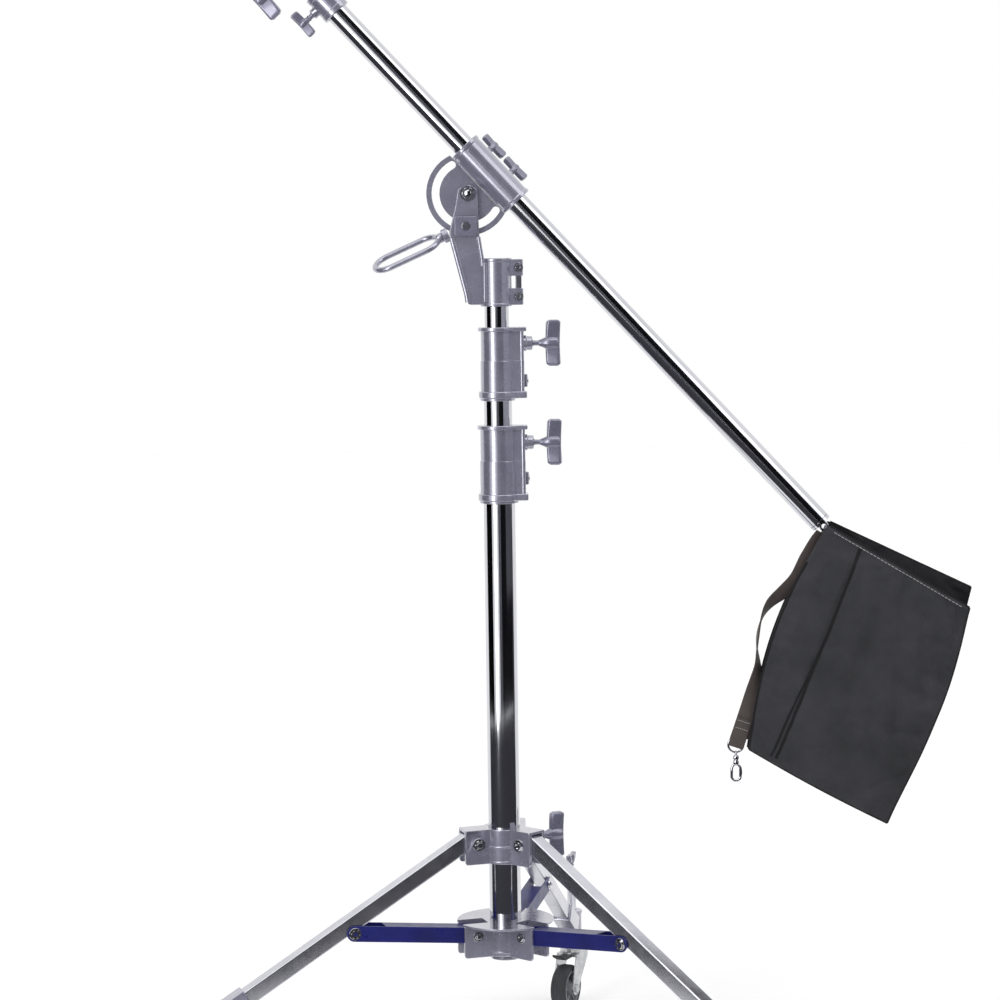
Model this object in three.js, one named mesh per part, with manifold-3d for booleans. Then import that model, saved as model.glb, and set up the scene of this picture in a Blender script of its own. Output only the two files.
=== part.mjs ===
// A wheeled boom stand: three folding legs, a telescopic mast, a tilting boom and its saddle bag.
// Millimetres, +Z up. The mast stands on the Z axis, the floor is at zero, and the boom lies in the XZ plane.
import * as THREE from "three";
import { mergeVertices } from "three/addons/utils/BufferGeometryUtils.js";
import Module from "manifold-3d";

const wasm = await Module();
wasm.setup();

const { PI, cos, sin, atan2, acos, asin, hypot } = Math;
const rad = (degrees) => (degrees * PI) / 180;

// Clearances
const gap = 0.3; // between pieces that rest on each other
const slip = 0.4; // round or beside anything that slides or turns
const overrun = 5; // how far a cut runs past the face that it opens
const bite = 1; // how far two shapes of one piece reach into each other

// Facets of round shapes
const tubeSides = 20;
const rodSides = 12;
const wireSides = 6;
const hexSides = 6;
const rimSides = 40;
const arcSteps = 7;
const rimSteps = 14;
const loopSteps = 24;
const smallLoopSteps = 16;
const strapSteps = 2; // per stretch of its line

// Materials
function finish(color, roughness, metalness) {
  return new THREE.MeshStandardMaterial({ color, roughness, metalness });
}
const chrome = finish(0xd4d6dc, 0.1, 1);
const casting = finish(0x8c8ca2, 0.42, 0.85);
const plated = finish(0x9a9aa2, 0.3, 0.9);
const zinc = finish(0xa0a0a4, 0.45, 0.8);
const blue = finish(0x272b7a, 0.4, 0.1);
const rubber = finish(0x1d1e22, 0.8, 0);
const hubGrey = finish(0x4c505a, 0.6, 0);
const nylon = finish(0x3b3b40, 0.9, 0);
const webbing = finish(0x554e4b, 0.9, 0);

// Mast tubes, each one sliding in the one below
const mast = { radius: 25, wall: 2.6, topWall: 2, foot: 212 };
const firstRadius = mast.radius - mast.wall - slip;
const secondRadius = firstRadius - mast.wall - slip;

// Foot cap
const cap = { thick: 4, plug: 12 };

// Fixed hub that carries the braces
const brace = {
  hubBottom: 7.5, // above the foot
  hubHeight: 54.5,
  hubWall: 9,
  plateRadius: 77,
  plateThick: 3,
  pinRadius: 52,
  pinHeight: 42, // above the foot
  length: 200,
  underLine: 2.6, // its outer bolt below the line through the leg's pin
  width: 31,
  height: 25,
  wall: 2.2,
  webStart: 13,
  webEnd: 150,
  earThick: 5,
  earReach: 22, // past the pin
  boltRadius: 4,
  headRadius: 6,
  headThick: 4,
};

// Sliding hub that carries the legs
const legHub = {
  bottom: 156, // above the foot
  height: 55,
  wall: 10,
  pinRadius: 48,
  pinHeight: 32, // above the hub's bottom
  earThick: 6,
  earReach: 22,
  topThick: 4,
  bossRadius: 11,
  bossReach: 55,
  knobDrop: 19, // below the hub's top
};

// Legs
const leg = {
  side: 25,
  wall: 2,
  offset: 11, // axis of the tube above its pin
  start: 4, // from the pin, along the leg
  eyeRadius: 11,
  boltRadius: 5,
  headRadius: 8,
  headThick: 5,
};
const legAzimuth = { left: 197.5, right: -42.5, back: 76.5 };
const legNames = ["left", "right", "back"];

// Feet at the ends of the legs
const foot = {
  wall: 3,
  grip: 50,
  radius: 500,
  lineHeight: 126.26, // above the floor, where the line from the leg's pin meets the foot's axis
  legStop: 35.7, // from the leg's end to the foot's axis, level
  bossRadius: 17,
  top: 152,
};

// Levelling jack of the back leg
const jack = { radius: 8, bossTop: 172, stemTop: 245 };

// Casters
const caster = {
  wheelRadius: 40,
  tyreDepth: 9,
  tyreWidth: 28,
  coreWidth: 26,
  coreHub: 12,
  trail: 30,
  trailAzimuth: 245,
  forkWall: 3,
  forkSpace: 2.5, // beside the tyre
  crownTop: 98,
  crownThick: 5,
  crownHalf: 24,
  raceRadius: 21,
  raceTop: 106,
  stemRadius: 6,
  stemLength: 34,
  axleRadius: 4,
  nutRadius: 8,
  nutThick: 4,
  cheekRadius: 12,
  cheekStart: -20, // degrees past the tangent from the crown
  cheekEnd: 35, // degrees above level
  webHalf: 4.3,
  pedalLength: 40,
  pedalWidth: 20,
  pedalThick: 4,
  pedalKneeShare: 0.6,
  pedalTopShare: 0.5,
};

// Collars at the tops of the mast tubes
const collar = {
  wall: 3.5,
  nose: 41.5,
  noseHalf: 13,
  lip: 4.5,
  lipNose: 4.5,
  topLip: 7,
  bottomLip: 11,
  bossRadius: 11,
  bossReach: 55,
  screwThick: 5.5,
  screwHalf: 8,
  screwTall: 20,
  ringThick: 4,
  ringWall: 5.5,
};
const lowerCollar = { bottom: 729.6, height: 118, step: 66.4, knob: 90.4, screw: 34.4 };
const collarSpace = 42.4; // between the collars at rest
const upperCollar = {
  bottom: lowerCollar.bottom + lowerCollar.height + collarSpace,
  height: 110.7,
  step: 57,
  knob: 85,
  screw: 27,
};

// Risers, measured above the foot
const riser = { firstBottom: 63, secondBottom: 108 };

// T-knobs
const knob = {
  shaft: 4,
  neck: 11,
  cone: 9,
  coneRadius: 9.5,
  thick: 24,
  span: 72,
  deep: 13,
  waist: 17,
  inset: 4,
};
const smallKnobShare = 0.62;

// Pivot head
const headSpace = 32.3; // above the upper collar at rest
const headBottom = upperCollar.bottom + upperCollar.height + headSpace;
const pivotRise = 175.6; // above the head's bottom
const bridgeRise = 97; // above the head's bottom
const head = {
  bottom: headBottom,
  height: 75,
  wall: 4.6,
  topThick: 4,
  pivotX: -41.7,
  pivotZ: headBottom + pivotRise,
  armThick: 9.8,
  pivotRadius: 7,
  nutRadius: 10.5,
  nutThick: 8,
  lockRadius: 50.5, // from the pivot
  lockBearing: 265.5, // degrees, counter-clockwise from +X
  lockBolt: 5.5,
  lockWide: 36,
  lockTall: 30,
  lockThick: 7,
  bridgeTop: headBottom + bridgeRise,
  screwBoss: 12,
  earReach: 42,
  earHalf: 10,
  earTall: 26,
  earInset: 2, // from the barrel's ends
  slit: 2,
  clampBolt: 3,
  clampHead: 6,
  clampThick: 4,
  clampBar: 4,
  clampBarHalf: 5,
};

// Outline of each arm of the yoke, from the pivot: down its outer side, in to the column, and up again
const armOutline = [
  [-15.3, 9],
  [-20, -20],
  [-30.6, -61.6],
  [-5, -153.6],
  [-3, -172.6],
  [-head.pivotX, -172.6],
  [-head.pivotX, -104.6],
  [22, -104.6],
  [16.3, -62],
  [14.7, 9],
];

// Loop handle that screws in from the lower left
const loop = {
  bearing: 204.1, // degrees, counter-clockwise from +X
  turn: 68, // degrees, of its flat about its own axis
  shank: 5,
  tip: 30, // from the lock bolt's axis
  root: 40, // from the lock bolt's axis
  length: 117,
  width: 58,
  wire: 4.8,
  collar: 8,
};

// Slotted tilt plate
const tilt = {
  half: 4.5,
  rim: 65,
  slotOuter: 56.5,
  slotInner: 44.5,
  slotStart: 166,
  slotEnd: 375,
};

// Boom, along its own X axis toward the tail, measured from the foot of the normal from the pivot
const boom = {
  angle: 47.2, // degrees below level
  offset: 45.5, // axis above the pivot
  radius: 17.5,
  wall: 2.1,
  headEnd: -372,
  tailEnd: 749,
  sleeveStart: -57,
  sleeveEnd: 62,
  sleeveWall: 7.1,
  lip: 1.5,
  lipWide: 6,
  bossRadius: 8,
  bossReach: 34,
  bossTurn: 50, // degrees from the normal, to the back
  firstBoss: -26,
  secondBoss: 22,
};
const extensionRadius = boom.radius - boom.wall - slip;
const extension = { wall: 2, start: -424, end: 270 };
const boomCollar = { start: -385, length: 45, wall: 5.5, bossReach: 30, knobAt: -364 };

// Cap and ring at the tail of the boom
const tail = { thick: 6, plug: 20, ring: 8, wire: 2.4 };

// Grip head at the outer end
const grip = {
  start: -446,
  length: 50,
  wall: 7,
  screwAt: -436,
  faceAt: 24, // from the boom's axis
  discRadius: 31,
  discThick: 18,
  capRadius: 10,
  capThick: 4,
  studRadius: 8,
  studLength: 52,
  studNeck: 6.5,
  neckWide: 12,
  bossReach: 38,
};

// Saddle bag, hung from the ring
const bag = {
  width: 256,
  height: 376,
  lean: 19.5, // degrees, of its long edges from plumb
  fall: 28.8, // degrees, of its short edges from level
  half: 38,
  rimHalf: 20,
  startX: 5.3, // from the middle of the ring
  startZ: 2.9,
  corner: 8,
};

// Webbing of the bag. Each point of its middle line is a distance down the bag's long edge and one out from
// that edge. The line stretches with the bag, and its lower fold keeps its height over the bag's foot.
const strap = { thick: 3, half: 12.5, drawnHeight: 376 };
const alongBag = (down) => (down * bag.height) / strap.drawnHeight;
const overFoot = (rise) => bag.height - rise;
const strapLine = [
  [14, 1.8],
  [37, 7],
  [alongBag(73), 14],
  [alongBag(110), 23],
  [alongBag(144), 36],
  [alongBag(173), 46],
  [alongBag(201), 45],
  [alongBag(239), 34],
  [alongBag(271), 31],
  [alongBag(312), 28],
  [alongBag(350), 27],
  [overFoot(10), 28],
  [overFoot(2), 28],
  [overFoot(-3), 26],
  [overFoot(-5), 21],
  [overFoot(-3), 16],
  [overFoot(2), 14],
  [overFoot(12), 9],
  [overFoot(22), 1.56],
];

// Snap hook, whose eye lies in the strap's fold
const snap = {
  down: overFoot(-1.2),
  out: 21,
  eyeWire: 2,
  eyeHalf: 15,
  eyeDrop: 9,
  eyeFoot: 15,
  bodyRadius: 5,
  bodyTop: 13,
  bodyEnd: 30,
  wire: 2.6,
  loopWide: 19,
  loopTall: 28,
};

// Shapes

// A closed geometry, or a solid already made, as a manifold-3d solid
function solid(shape) {
  if (shape instanceof wasm.Manifold) return shape;
  const bare = new THREE.BufferGeometry();
  bare.setAttribute("position", shape.getAttribute("position").clone());
  if (shape.index) bare.setIndex(shape.index.clone());
  const merged = mergeVertices(bare);
  const corners = merged.index.array;
  const kept = [];
  for (let i = 0; i < corners.length; i += 3) {
    const [a, b, c] = [corners[i], corners[i + 1], corners[i + 2]];
    if (a !== b && b !== c && c !== a) kept.push(a, b, c);
  }
  return new wasm.Manifold(
    new wasm.Mesh({
      numProp: 3,
      vertProperties: new Float32Array(merged.getAttribute("position").array),
      triVerts: new Uint32Array(kept),
    }),
  );
}

const join = (...shapes) => shapes.map(solid).reduce((whole, next) => whole.add(next));
const cut = (body, ...tools) => tools.map(solid).reduce((left, tool) => left.subtract(tool), solid(body));

// A box between two corners, each axis given as [low, high]
function box(x, y, z) {
  const geometry = new THREE.BoxGeometry(x[1] - x[0], y[1] - y[0], z[1] - z[0]);
  return geometry.translate((x[0] + x[1]) / 2, (y[0] + y[1]) / 2, (z[0] + z[1]) / 2);
}

// A round rod or cone between two points
function rod(radius, from, to, sides = rodSides, endRadius = radius) {
  const start = new THREE.Vector3(...from);
  const along = new THREE.Vector3(...to).sub(start);
  const length = along.length();
  const geometry = new THREE.CylinderGeometry(endRadius, radius, length, sides);
  geometry.translate(0, length / 2, 0);
  const turn = new THREE.Quaternion().setFromUnitVectors(new THREE.Vector3(0, 1, 0), along.normalize());
  return geometry.applyQuaternion(turn).translate(start.x, start.y, start.z);
}

const upright = (radius, low, high, sides = tubeSides) => rod(radius, [0, 0, low], [0, 0, high], sides);
const across = (radius, x, z, y, sides = rodSides) => rod(radius, [x, y[0], z], [x, y[1], z], sides);
const lengthwise = (radius, start, end, sides = tubeSides) => rod(radius, [start, 0, 0], [end, 0, 0], sides);

// An outline in XY, given height along Z
function slab(shape, z, curveSegments = arcSteps) {
  const settings = { depth: z[1] - z[0], bevelEnabled: false, curveSegments };
  return new THREE.ExtrudeGeometry(shape, settings).translate(0, 0, z[0]);
}

// An outline in XZ, given depth along Y
function plate(shape, y, curveSegments = arcSteps) {
  return slab(shape, [-y[1], -y[0]], curveSegments).rotateX(PI / 2);
}

const outline = (points) => new THREE.Shape(points.map(([x, y]) => new THREE.Vector2(x, y)));

// A profile of [radius, height] points that starts and ends on the Z axis
function turned(points, sides = tubeSides) {
  const profile = points.map(([r, z]) => new THREE.Vector2(r, z));
  return new THREE.LatheGeometry(profile, sides).rotateX(PI / 2);
}

// A convex solid from rings of points, one above the other along Y
function stack(rings) {
  const size = rings[0].length;
  const faces = [];
  for (let i = 0; i + 1 < rings.length; i += 1) {
    for (let j = 0; j < size; j += 1) {
      const here = i * size + j;
      const beside = i * size + ((j + 1) % size);
      faces.push(here, here + size, beside, beside, here + size, beside + size);
    }
  }
  const last = (rings.length - 1) * size;
  for (let j = 1; j + 1 < size; j += 1) {
    faces.push(0, j, j + 1, last, last + j + 1, last + j);
  }
  const geometry = new THREE.BufferGeometry();
  geometry.setAttribute("position", new THREE.Float32BufferAttribute(rings.flat(2), 3));
  geometry.setIndex(faces);
  return geometry;
}

// A wire that closes on itself along a flat curve in XZ
function closedWire(curve, wire, steps) {
  const places = [];
  for (let i = 0; i < steps; i += 1) {
    const point = curve.getPointAt(i / steps);
    const tangent = curve.getTangentAt(i / steps);
    for (let j = 0; j < wireSides; j += 1) {
      const angle = (2 * PI * j) / wireSides;
      const out = wire * cos(angle);
      places.push(point.x - out * tangent.y, wire * sin(angle), point.y + out * tangent.x);
    }
  }
  const faces = [];
  for (let i = 0; i < steps; i += 1) {
    for (let j = 0; j < wireSides; j += 1) {
      const here = i * wireSides + j;
      const beside = i * wireSides + ((j + 1) % wireSides);
      const ahead = ((i + 1) % steps) * wireSides + j;
      const corner = ((i + 1) % steps) * wireSides + ((j + 1) % wireSides);
      faces.push(here, ahead, beside, beside, ahead, corner);
    }
  }
  const geometry = new THREE.BufferGeometry();
  geometry.setAttribute("position", new THREE.Float32BufferAttribute(places, 3));
  geometry.setIndex(faces);
  return geometry;
}

// A long ring whose centre line has two straight sides and two round ends
function longRing(start, length, width) {
  const turn = width / 2;
  const path = new THREE.Path();
  path.moveTo(start + turn, -turn);
  path.lineTo(start + length - turn, -turn);
  path.absarc(start + length - turn, 0, turn, -PI / 2, PI / 2, false);
  path.lineTo(start + turn, turn);
  path.absarc(start + turn, 0, turn, PI / 2, (3 * PI) / 2, false);
  return path;
}

// Scene graph

const stand = new THREE.Group();

function frame(parent, place = [0, 0, 0], turn = [0, 0, 0]) {
  const group = new THREE.Group();
  group.position.set(...place);
  group.rotation.set(...turn);
  parent.add(group);
  return group;
}

function piece(parent, name, shape, material) {
  const made = solid(shape).getMesh();
  const geometry = new THREE.BufferGeometry();
  geometry.setAttribute("position", new THREE.BufferAttribute(new Float32Array(made.vertProperties), 3));
  geometry.setIndex(new THREE.BufferAttribute(new Uint32Array(made.triVerts), 1));
  const faceted = geometry.toNonIndexed();
  faceted.computeVertexNormals();
  const mesh = new THREE.Mesh(faceted, material);
  mesh.name = name;
  parent.add(mesh);
  return mesh;
}

// A T-knob along +X from the face of its boss, with its threaded stem behind the face
function tKnob(stem, share = 1) {
  const coneAt = knob.neck * share;
  const wingAt = coneAt + knob.cone * share;
  const wingEnd = wingAt + knob.thick * share;
  const halfSpan = (knob.span * share) / 2;
  const halfWaist = (knob.waist * share) / 2;
  const inset = knob.inset * share;
  const wing = outline([
    [wingAt, -halfWaist],
    [wingAt + inset, -halfSpan],
    [wingEnd, -halfSpan],
    [wingEnd - inset, -halfWaist],
    [wingEnd - inset, halfWaist],
    [wingEnd, halfSpan],
    [wingAt + inset, halfSpan],
    [wingAt, halfWaist],
  ]);
  const halfDeep = (knob.deep * share) / 2;
  return join(
    lengthwise(knob.shaft, -stem, coneAt + bite, rodSides),
    rod(knob.shaft, [coneAt, 0, 0], [wingAt + bite, 0, 0], rodSides, knob.coneRadius * share),
    plate(wing, [-halfDeep, halfDeep]),
  );
}

// A hexagonal bolt across Y through two ears, with a head in front and a nut behind
function crossBolt(radius, headRadius, headThick, halfWidth, x, z) {
  const face = halfWidth + gap;
  return join(
    across(radius, x, z, [-face - bite, face + bite]),
    across(headRadius, x, z, [-face - headThick, -face], hexSides),
    across(headRadius, x, z, [face, face + headThick], hexSides),
  );
}

// Hubs

function ears(reach, halfWidth, thick, z) {
  return [
    box([0, reach], [halfWidth, halfWidth + thick], z),
    box([0, reach], [-halfWidth - thick, -halfWidth], z),
  ];
}

const legAngles = legNames.map((name) => rad(legAzimuth[name]));
const braceEarIn = brace.width / 2 + slip;
const braceEarOut = braceEarIn + brace.earThick;
const legEarIn = leg.side / 2 + slip;
const legEarOut = legEarIn + legHub.earThick;

function lowerHub() {
  const bottom = mast.foot + brace.hubBottom;
  const top = bottom + brace.hubHeight;
  const plateBottom = top - brace.plateThick;
  const pinZ = mast.foot + brace.pinHeight;
  const reach = brace.pinRadius + brace.earReach;
  const lugs = legAngles.flatMap((angle) =>
    ears(reach, braceEarIn, brace.earThick, [bottom, plateBottom + bite]).map((ear) => ear.rotateZ(angle)),
  );
  const slotX = [mast.radius + brace.hubWall, brace.plateRadius + overrun];
  const slotZ = [bottom - overrun, top + overrun];
  const slots = legAngles.map((angle) => box(slotX, [-braceEarIn, braceEarIn], slotZ).rotateZ(angle));
  const holeY = [-braceEarOut - overrun, braceEarOut + overrun];
  const holes = legAngles.map((angle) =>
    across(brace.boltRadius + gap, brace.pinRadius, pinZ, holeY).rotateZ(angle),
  );
  const body = join(
    upright(mast.radius + brace.hubWall, bottom, top),
    upright(brace.plateRadius, plateBottom, top),
    ...lugs,
  );
  return cut(body, ...slots, ...holes, upright(mast.radius + gap, bottom - overrun, top + overrun));
}

function slidingHub() {
  const bottom = 0;
  const top = legHub.height;
  const reach = legHub.pinRadius + legHub.earReach;
  const lugs = legAngles.flatMap((angle) => [
    ...ears(reach, legEarIn, legHub.earThick, [bottom, top]).map((ear) => ear.rotateZ(angle)),
    box([0, reach], [-legEarOut, legEarOut], [top - legHub.topThick, top]).rotateZ(angle),
  ]);
  const slotX = [mast.radius + legHub.wall, reach + overrun];
  const slotZ = [bottom - overrun, top - legHub.topThick];
  const slots = legAngles.map((angle) => box(slotX, [-legEarIn, legEarIn], slotZ).rotateZ(angle));
  const holeY = [-legEarOut - overrun, legEarOut + overrun];
  const holes = legAngles.map((angle) =>
    across(leg.boltRadius + gap, legHub.pinRadius, legHub.pinHeight, holeY).rotateZ(angle),
  );
  const knobZ = top - legHub.knobDrop;
  const boss = rod(legHub.bossRadius, [mast.radius, 0, knobZ], [legHub.bossReach, 0, knobZ]);
  const bossHole = rod(knob.shaft + slip, [0, 0, knobZ], [legHub.bossReach + overrun, 0, knobZ]);
  const bore = upright(mast.radius + slip, bottom - overrun, top + overrun);
  const body = cut(join(upright(mast.radius + legHub.wall, bottom, top), ...lugs), ...slots);
  const turnedBoss = boss.rotateZ(hubKnobAngle);
  return cut(join(body, turnedBoss), ...holes, bossHole.rotateZ(hubKnobAngle), bore);
}

const hubKnobAngle = rad((legAzimuth.right + legAzimuth.back) / 2);

// Column
const tubeBottom = mast.foot + cap.thick + gap;
const baseTop = mast.foot + lowerCollar.bottom + lowerCollar.step;
const baseInner = mast.radius - mast.wall;

piece(
  stand,
  "base_tube",
  cut(upright(mast.radius, tubeBottom, baseTop), upright(baseInner, tubeBottom - overrun, baseTop + overrun)),
  chrome,
);
piece(
  stand,
  "foot_cap",
  join(
    upright(mast.radius, mast.foot, mast.foot + cap.thick),
    upright(baseInner - gap, mast.foot + cap.thick - bite, mast.foot + cap.thick + cap.plug),
  ),
  casting,
);
piece(stand, "lower_hub", lowerHub(), casting);

const hubFrame = frame(stand, [0, 0, mast.foot + legHub.bottom]);
piece(hubFrame, "leg_hub", slidingHub(), casting);
const hubKnobFrame = frame(hubFrame, [0, 0, legHub.height - legHub.knobDrop], [0, 0, hubKnobAngle]);
const stemToTube = (faceReach, tubeRadius) => faceReach - tubeRadius;
piece(
  frame(hubKnobFrame, [legHub.bossReach + gap, 0, 0]),
  "hub_knob",
  tKnob(stemToTube(legHub.bossReach, mast.radius)),
  casting,
);

// Legs, braces and feet, each built along +X and turned to its azimuth

// The slope follows from the foot's place, and the brace ends just under the leg
const pinZ = mast.foot + legHub.bottom + legHub.pinHeight;
const bracePinZ = mast.foot + brace.pinHeight;
const slope = atan2(pinZ - foot.lineHeight, foot.radius - legHub.pinRadius);
const legReach = foot.radius - foot.legStop - legHub.pinRadius - leg.offset * sin(slope);
const legEnd = legReach / cos(slope);
const pinsApart = (pinZ - bracePinZ) * cos(slope) - (brace.pinRadius - legHub.pinRadius) * sin(slope);
const braceRise = asin((pinsApart - brace.underLine) / brace.length) - slope;

function legTube() {
  const half = leg.side / 2;
  const inner = half - leg.wall;
  const hollowStart = leg.start + leg.eyeRadius * 2;
  const tube = cut(
    box([leg.start, legEnd], [-half, half], [leg.offset - half, leg.offset + half]),
    box([hollowStart, legEnd + overrun], [-inner, inner], [leg.offset - inner, leg.offset + inner]),
  );
  const eye = across(leg.eyeRadius, 0, 0, [-half, half]);
  return cut(join(tube, eye), across(leg.boltRadius + gap, 0, 0, [-half - overrun, half + overrun]));
}

// The socket on the leg's end and the upright boss for the caster's stem
function legFoot(bossTop, holeRadius) {
  const half = leg.side / 2 + gap + foot.wall;
  const inside = leg.side / 2 + gap;
  const low = leg.offset - half;
  const high = leg.offset + half;
  const socketX = [legEnd - foot.grip, legEnd + foot.grip / 2];
  const cavityX = [legEnd - foot.grip - overrun, legEnd + gap];
  const cavityZ = [leg.offset - inside, leg.offset + inside];
  const socket = box(socketX, [-half, half], [low, high]);
  const cavity = box(cavityX, [-inside, inside], cavityZ);
  [socket, cavity].forEach((shape) => shape.rotateY(slope).translate(legHub.pinRadius, 0, pinZ));
  const bossBottom = caster.raceTop + gap;
  const boss = upright(foot.bossRadius, bossBottom, bossTop, rodSides).translate(foot.radius, 0, 0);
  const below = box([0, foot.radius * 2], [-foot.radius, foot.radius], [0, bossBottom]);
  const hole = upright(holeRadius, 0, bossTop + overrun, rodSides).translate(foot.radius, 0, 0);
  const body = cut(join(socket, boss), cavity, below);
  return cut(body, hole);
}

function braceBody() {
  const half = brace.width / 2;
  const inside = half - brace.wall;
  const round = brace.height / 2;
  const side = new THREE.Shape();
  side.moveTo(0, -round);
  side.lineTo(brace.length, -round);
  side.absarc(brace.length, 0, round, -PI / 2, PI / 2, false);
  side.lineTo(0, round);
  side.absarc(0, 0, round, PI / 2, (3 * PI) / 2, false);
  const pastEnds = [-round - overrun, brace.length + round + overrun];
  const pastSides = [-round - overrun, round + overrun];
  const cheeks = cut(plate(side, [-half, half]), box(pastEnds, [-inside, inside], pastSides));
  const web = box([brace.webStart, brace.webEnd], [-half + bite, half - bite], [round - brace.wall, round]);
  const headFace = half + brace.headThick;
  const heads = [
    across(brace.headRadius, brace.length, 0, [-headFace, -half + bite], hexSides),
    across(brace.headRadius, brace.length, 0, [half - bite, headFace], hexSides),
  ];
  const hole = across(brace.boltRadius + slip, 0, 0, [-half - overrun, half + overrun]);
  return cut(join(cheeks, web, ...heads), hole);
}

// Caster, along +X toward its trail, with the floor at zero and the swivel on the Z axis
function casterFork(stemLength) {
  const inside = caster.tyreWidth / 2 + caster.forkSpace;
  const outside = inside + caster.forkWall;
  const crownBottom = caster.crownTop - caster.crownThick;
  const axleZ = caster.wheelRadius;
  const tangent = atan2(axleZ - crownBottom, caster.trail) - PI / 2;
  const cheek = new THREE.Shape();
  cheek.moveTo(-caster.crownHalf, crownBottom + bite);
  cheek.lineTo(-caster.crownHalf, crownBottom - caster.crownThick);
  cheek.absarc(
    caster.trail,
    axleZ,
    caster.cheekRadius,
    tangent + rad(caster.cheekStart),
    rad(caster.cheekEnd),
    false,
  );
  cheek.lineTo(caster.crownHalf, crownBottom + bite);
  const wheelX = [-caster.crownHalf - overrun, caster.trail + caster.wheelRadius];
  const wheelSpace = box(wheelX, [-inside, inside], [0, caster.crownTop * 2]);
  const sides = cut(plate(cheek, [-outside, outside]), wheelSpace);
  const crownX = [-caster.crownHalf, caster.crownHalf];
  const crown = box(crownX, [-outside, outside], [crownBottom, caster.crownTop]);
  const stemTop = caster.raceTop + stemLength;
  return join(
    sides,
    crown,
    upright(caster.raceRadius, caster.crownTop - bite, caster.raceTop, rodSides),
    upright(caster.stemRadius, caster.raceTop - bite, stemTop, rodSides),
    across(caster.axleRadius, caster.trail, axleZ, [-outside - bite, outside + bite]),
    across(caster.nutRadius, caster.trail, axleZ, [-outside - caster.nutThick, -outside + bite], hexSides),
    across(caster.nutRadius, caster.trail, axleZ, [outside - bite, outside + caster.nutThick], hexSides),
  );
}

function casterTyre() {
  const half = caster.tyreWidth / 2;
  const tread = half - caster.tyreDepth / 2;
  const inner = caster.wheelRadius - caster.tyreDepth;
  const shoulder = caster.wheelRadius - caster.tyreDepth / 4;
  const body = turned([
    [0, -half],
    [shoulder - caster.tyreDepth / 4, -half],
    [shoulder, -tread],
    [caster.wheelRadius, -tread / 2],
    [caster.wheelRadius, tread / 2],
    [shoulder, tread],
    [shoulder - caster.tyreDepth / 4, half],
    [0, half],
  ]);
  return cut(body, upright(inner, -half - overrun, half + overrun));
}

function casterWheel() {
  const half = caster.coreWidth / 2;
  const outer = caster.wheelRadius - caster.tyreDepth - gap;
  const hubHalf = caster.tyreWidth / 2 + caster.forkSpace - slip;
  const axleHole = upright(caster.axleRadius + slip, -hubHalf - overrun, hubHalf + overrun, rodSides);
  const disc = cut(
    upright(outer, -half, half),
    upright(outer - caster.forkWall, caster.webHalf, half + overrun),
    upright(outer - caster.forkWall, -half - overrun, -caster.webHalf),
  );
  return cut(join(disc, upright(caster.coreHub, -hubHalf, hubHalf, rodSides)), axleHole);
}

function brakePedal() {
  const half = caster.pedalWidth / 2;
  const thick = caster.pedalThick;
  const side = outline([
    [0, 0],
    [caster.pedalLength * caster.pedalKneeShare, 0],
    [caster.pedalLength, thick * 2],
    [caster.pedalLength, thick * 3],
    [caster.pedalLength * caster.pedalTopShare, thick],
    [0, thick],
  ]);
  return plate(side, [-half, half]);
}

const legBolt = crossBolt(leg.boltRadius, leg.headRadius, leg.headThick, legEarOut, 0, 0);
const braceBolt = crossBolt(brace.boltRadius, brace.headRadius, brace.headThick, braceEarOut, 0, 0);

for (const name of legNames) {
  const radial = frame(stand, [0, 0, 0], [0, 0, rad(legAzimuth[name])]);
  const legPin = frame(radial, [legHub.pinRadius, 0, pinZ]);
  piece(frame(legPin, [0, 0, 0], [0, slope, 0]), "leg_tube_" + name, legTube(), plated);
  piece(legPin, "leg_bolt_" + name, legBolt, chrome);
  const bracePin = frame(radial, [brace.pinRadius, 0, bracePinZ]);
  piece(frame(bracePin, [0, 0, 0], [0, -braceRise, 0]), "brace_" + name, braceBody(), blue);
  piece(bracePin, "brace_bolt_" + name, braceBolt, chrome);
  if (name === "back") {
    piece(radial, "levelling_socket", legFoot(jack.bossTop, jack.radius + slip), casting);
    const socketTop = caster.raceTop + caster.stemLength + gap;
    const stem = cut(
      upright(jack.radius, caster.raceTop + gap, jack.stemTop, rodSides),
      upright(caster.stemRadius + slip, caster.raceTop - overrun, socketTop, rodSides),
    );
    piece(frame(radial, [foot.radius, 0, 0]), "levelling_stem", stem, chrome);
    piece(
      frame(radial, [foot.radius, 0, jack.stemTop + gap], [0, -PI / 2, 0]),
      "levelling_knob",
      tKnob(0, smallKnobShare),
      casting,
    );
  } else {
    piece(radial, "leg_foot_" + name, legFoot(foot.top, caster.stemRadius + slip), casting);
  }
  const turnToTrail = rad(caster.trailAzimuth - legAzimuth[name]);
  const swivel = frame(radial, [foot.radius, 0, 0], [0, 0, turnToTrail]);
  piece(swivel, "caster_fork_" + name, casterFork(caster.stemLength), zinc);
  const axle = frame(swivel, [caster.trail, 0, caster.wheelRadius], [PI / 2, 0, 0]);
  piece(axle, "caster_wheel_" + name, casterWheel(), hubGrey);
  piece(axle, "caster_tyre_" + name, casterTyre(), rubber);
  const pedalFrame = frame(swivel, [caster.crownHalf + gap, 0, caster.crownTop - caster.crownThick]);
  piece(pedalFrame, "brake_pedal_" + name, brakePedal(), rubber);
}

// Collars

// The plan of a collar: a round barrel with a flat nose toward +X
function nosePlan(radius, nose, half) {
  const far = hypot(nose, half);
  const turn = atan2(half, nose) + acos(radius / far);
  const shape = new THREE.Shape();
  shape.moveTo(nose, -half);
  shape.lineTo(nose, half);
  shape.absarc(0, 0, radius, turn, 2 * PI - turn, false);
  return shape;
}

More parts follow.
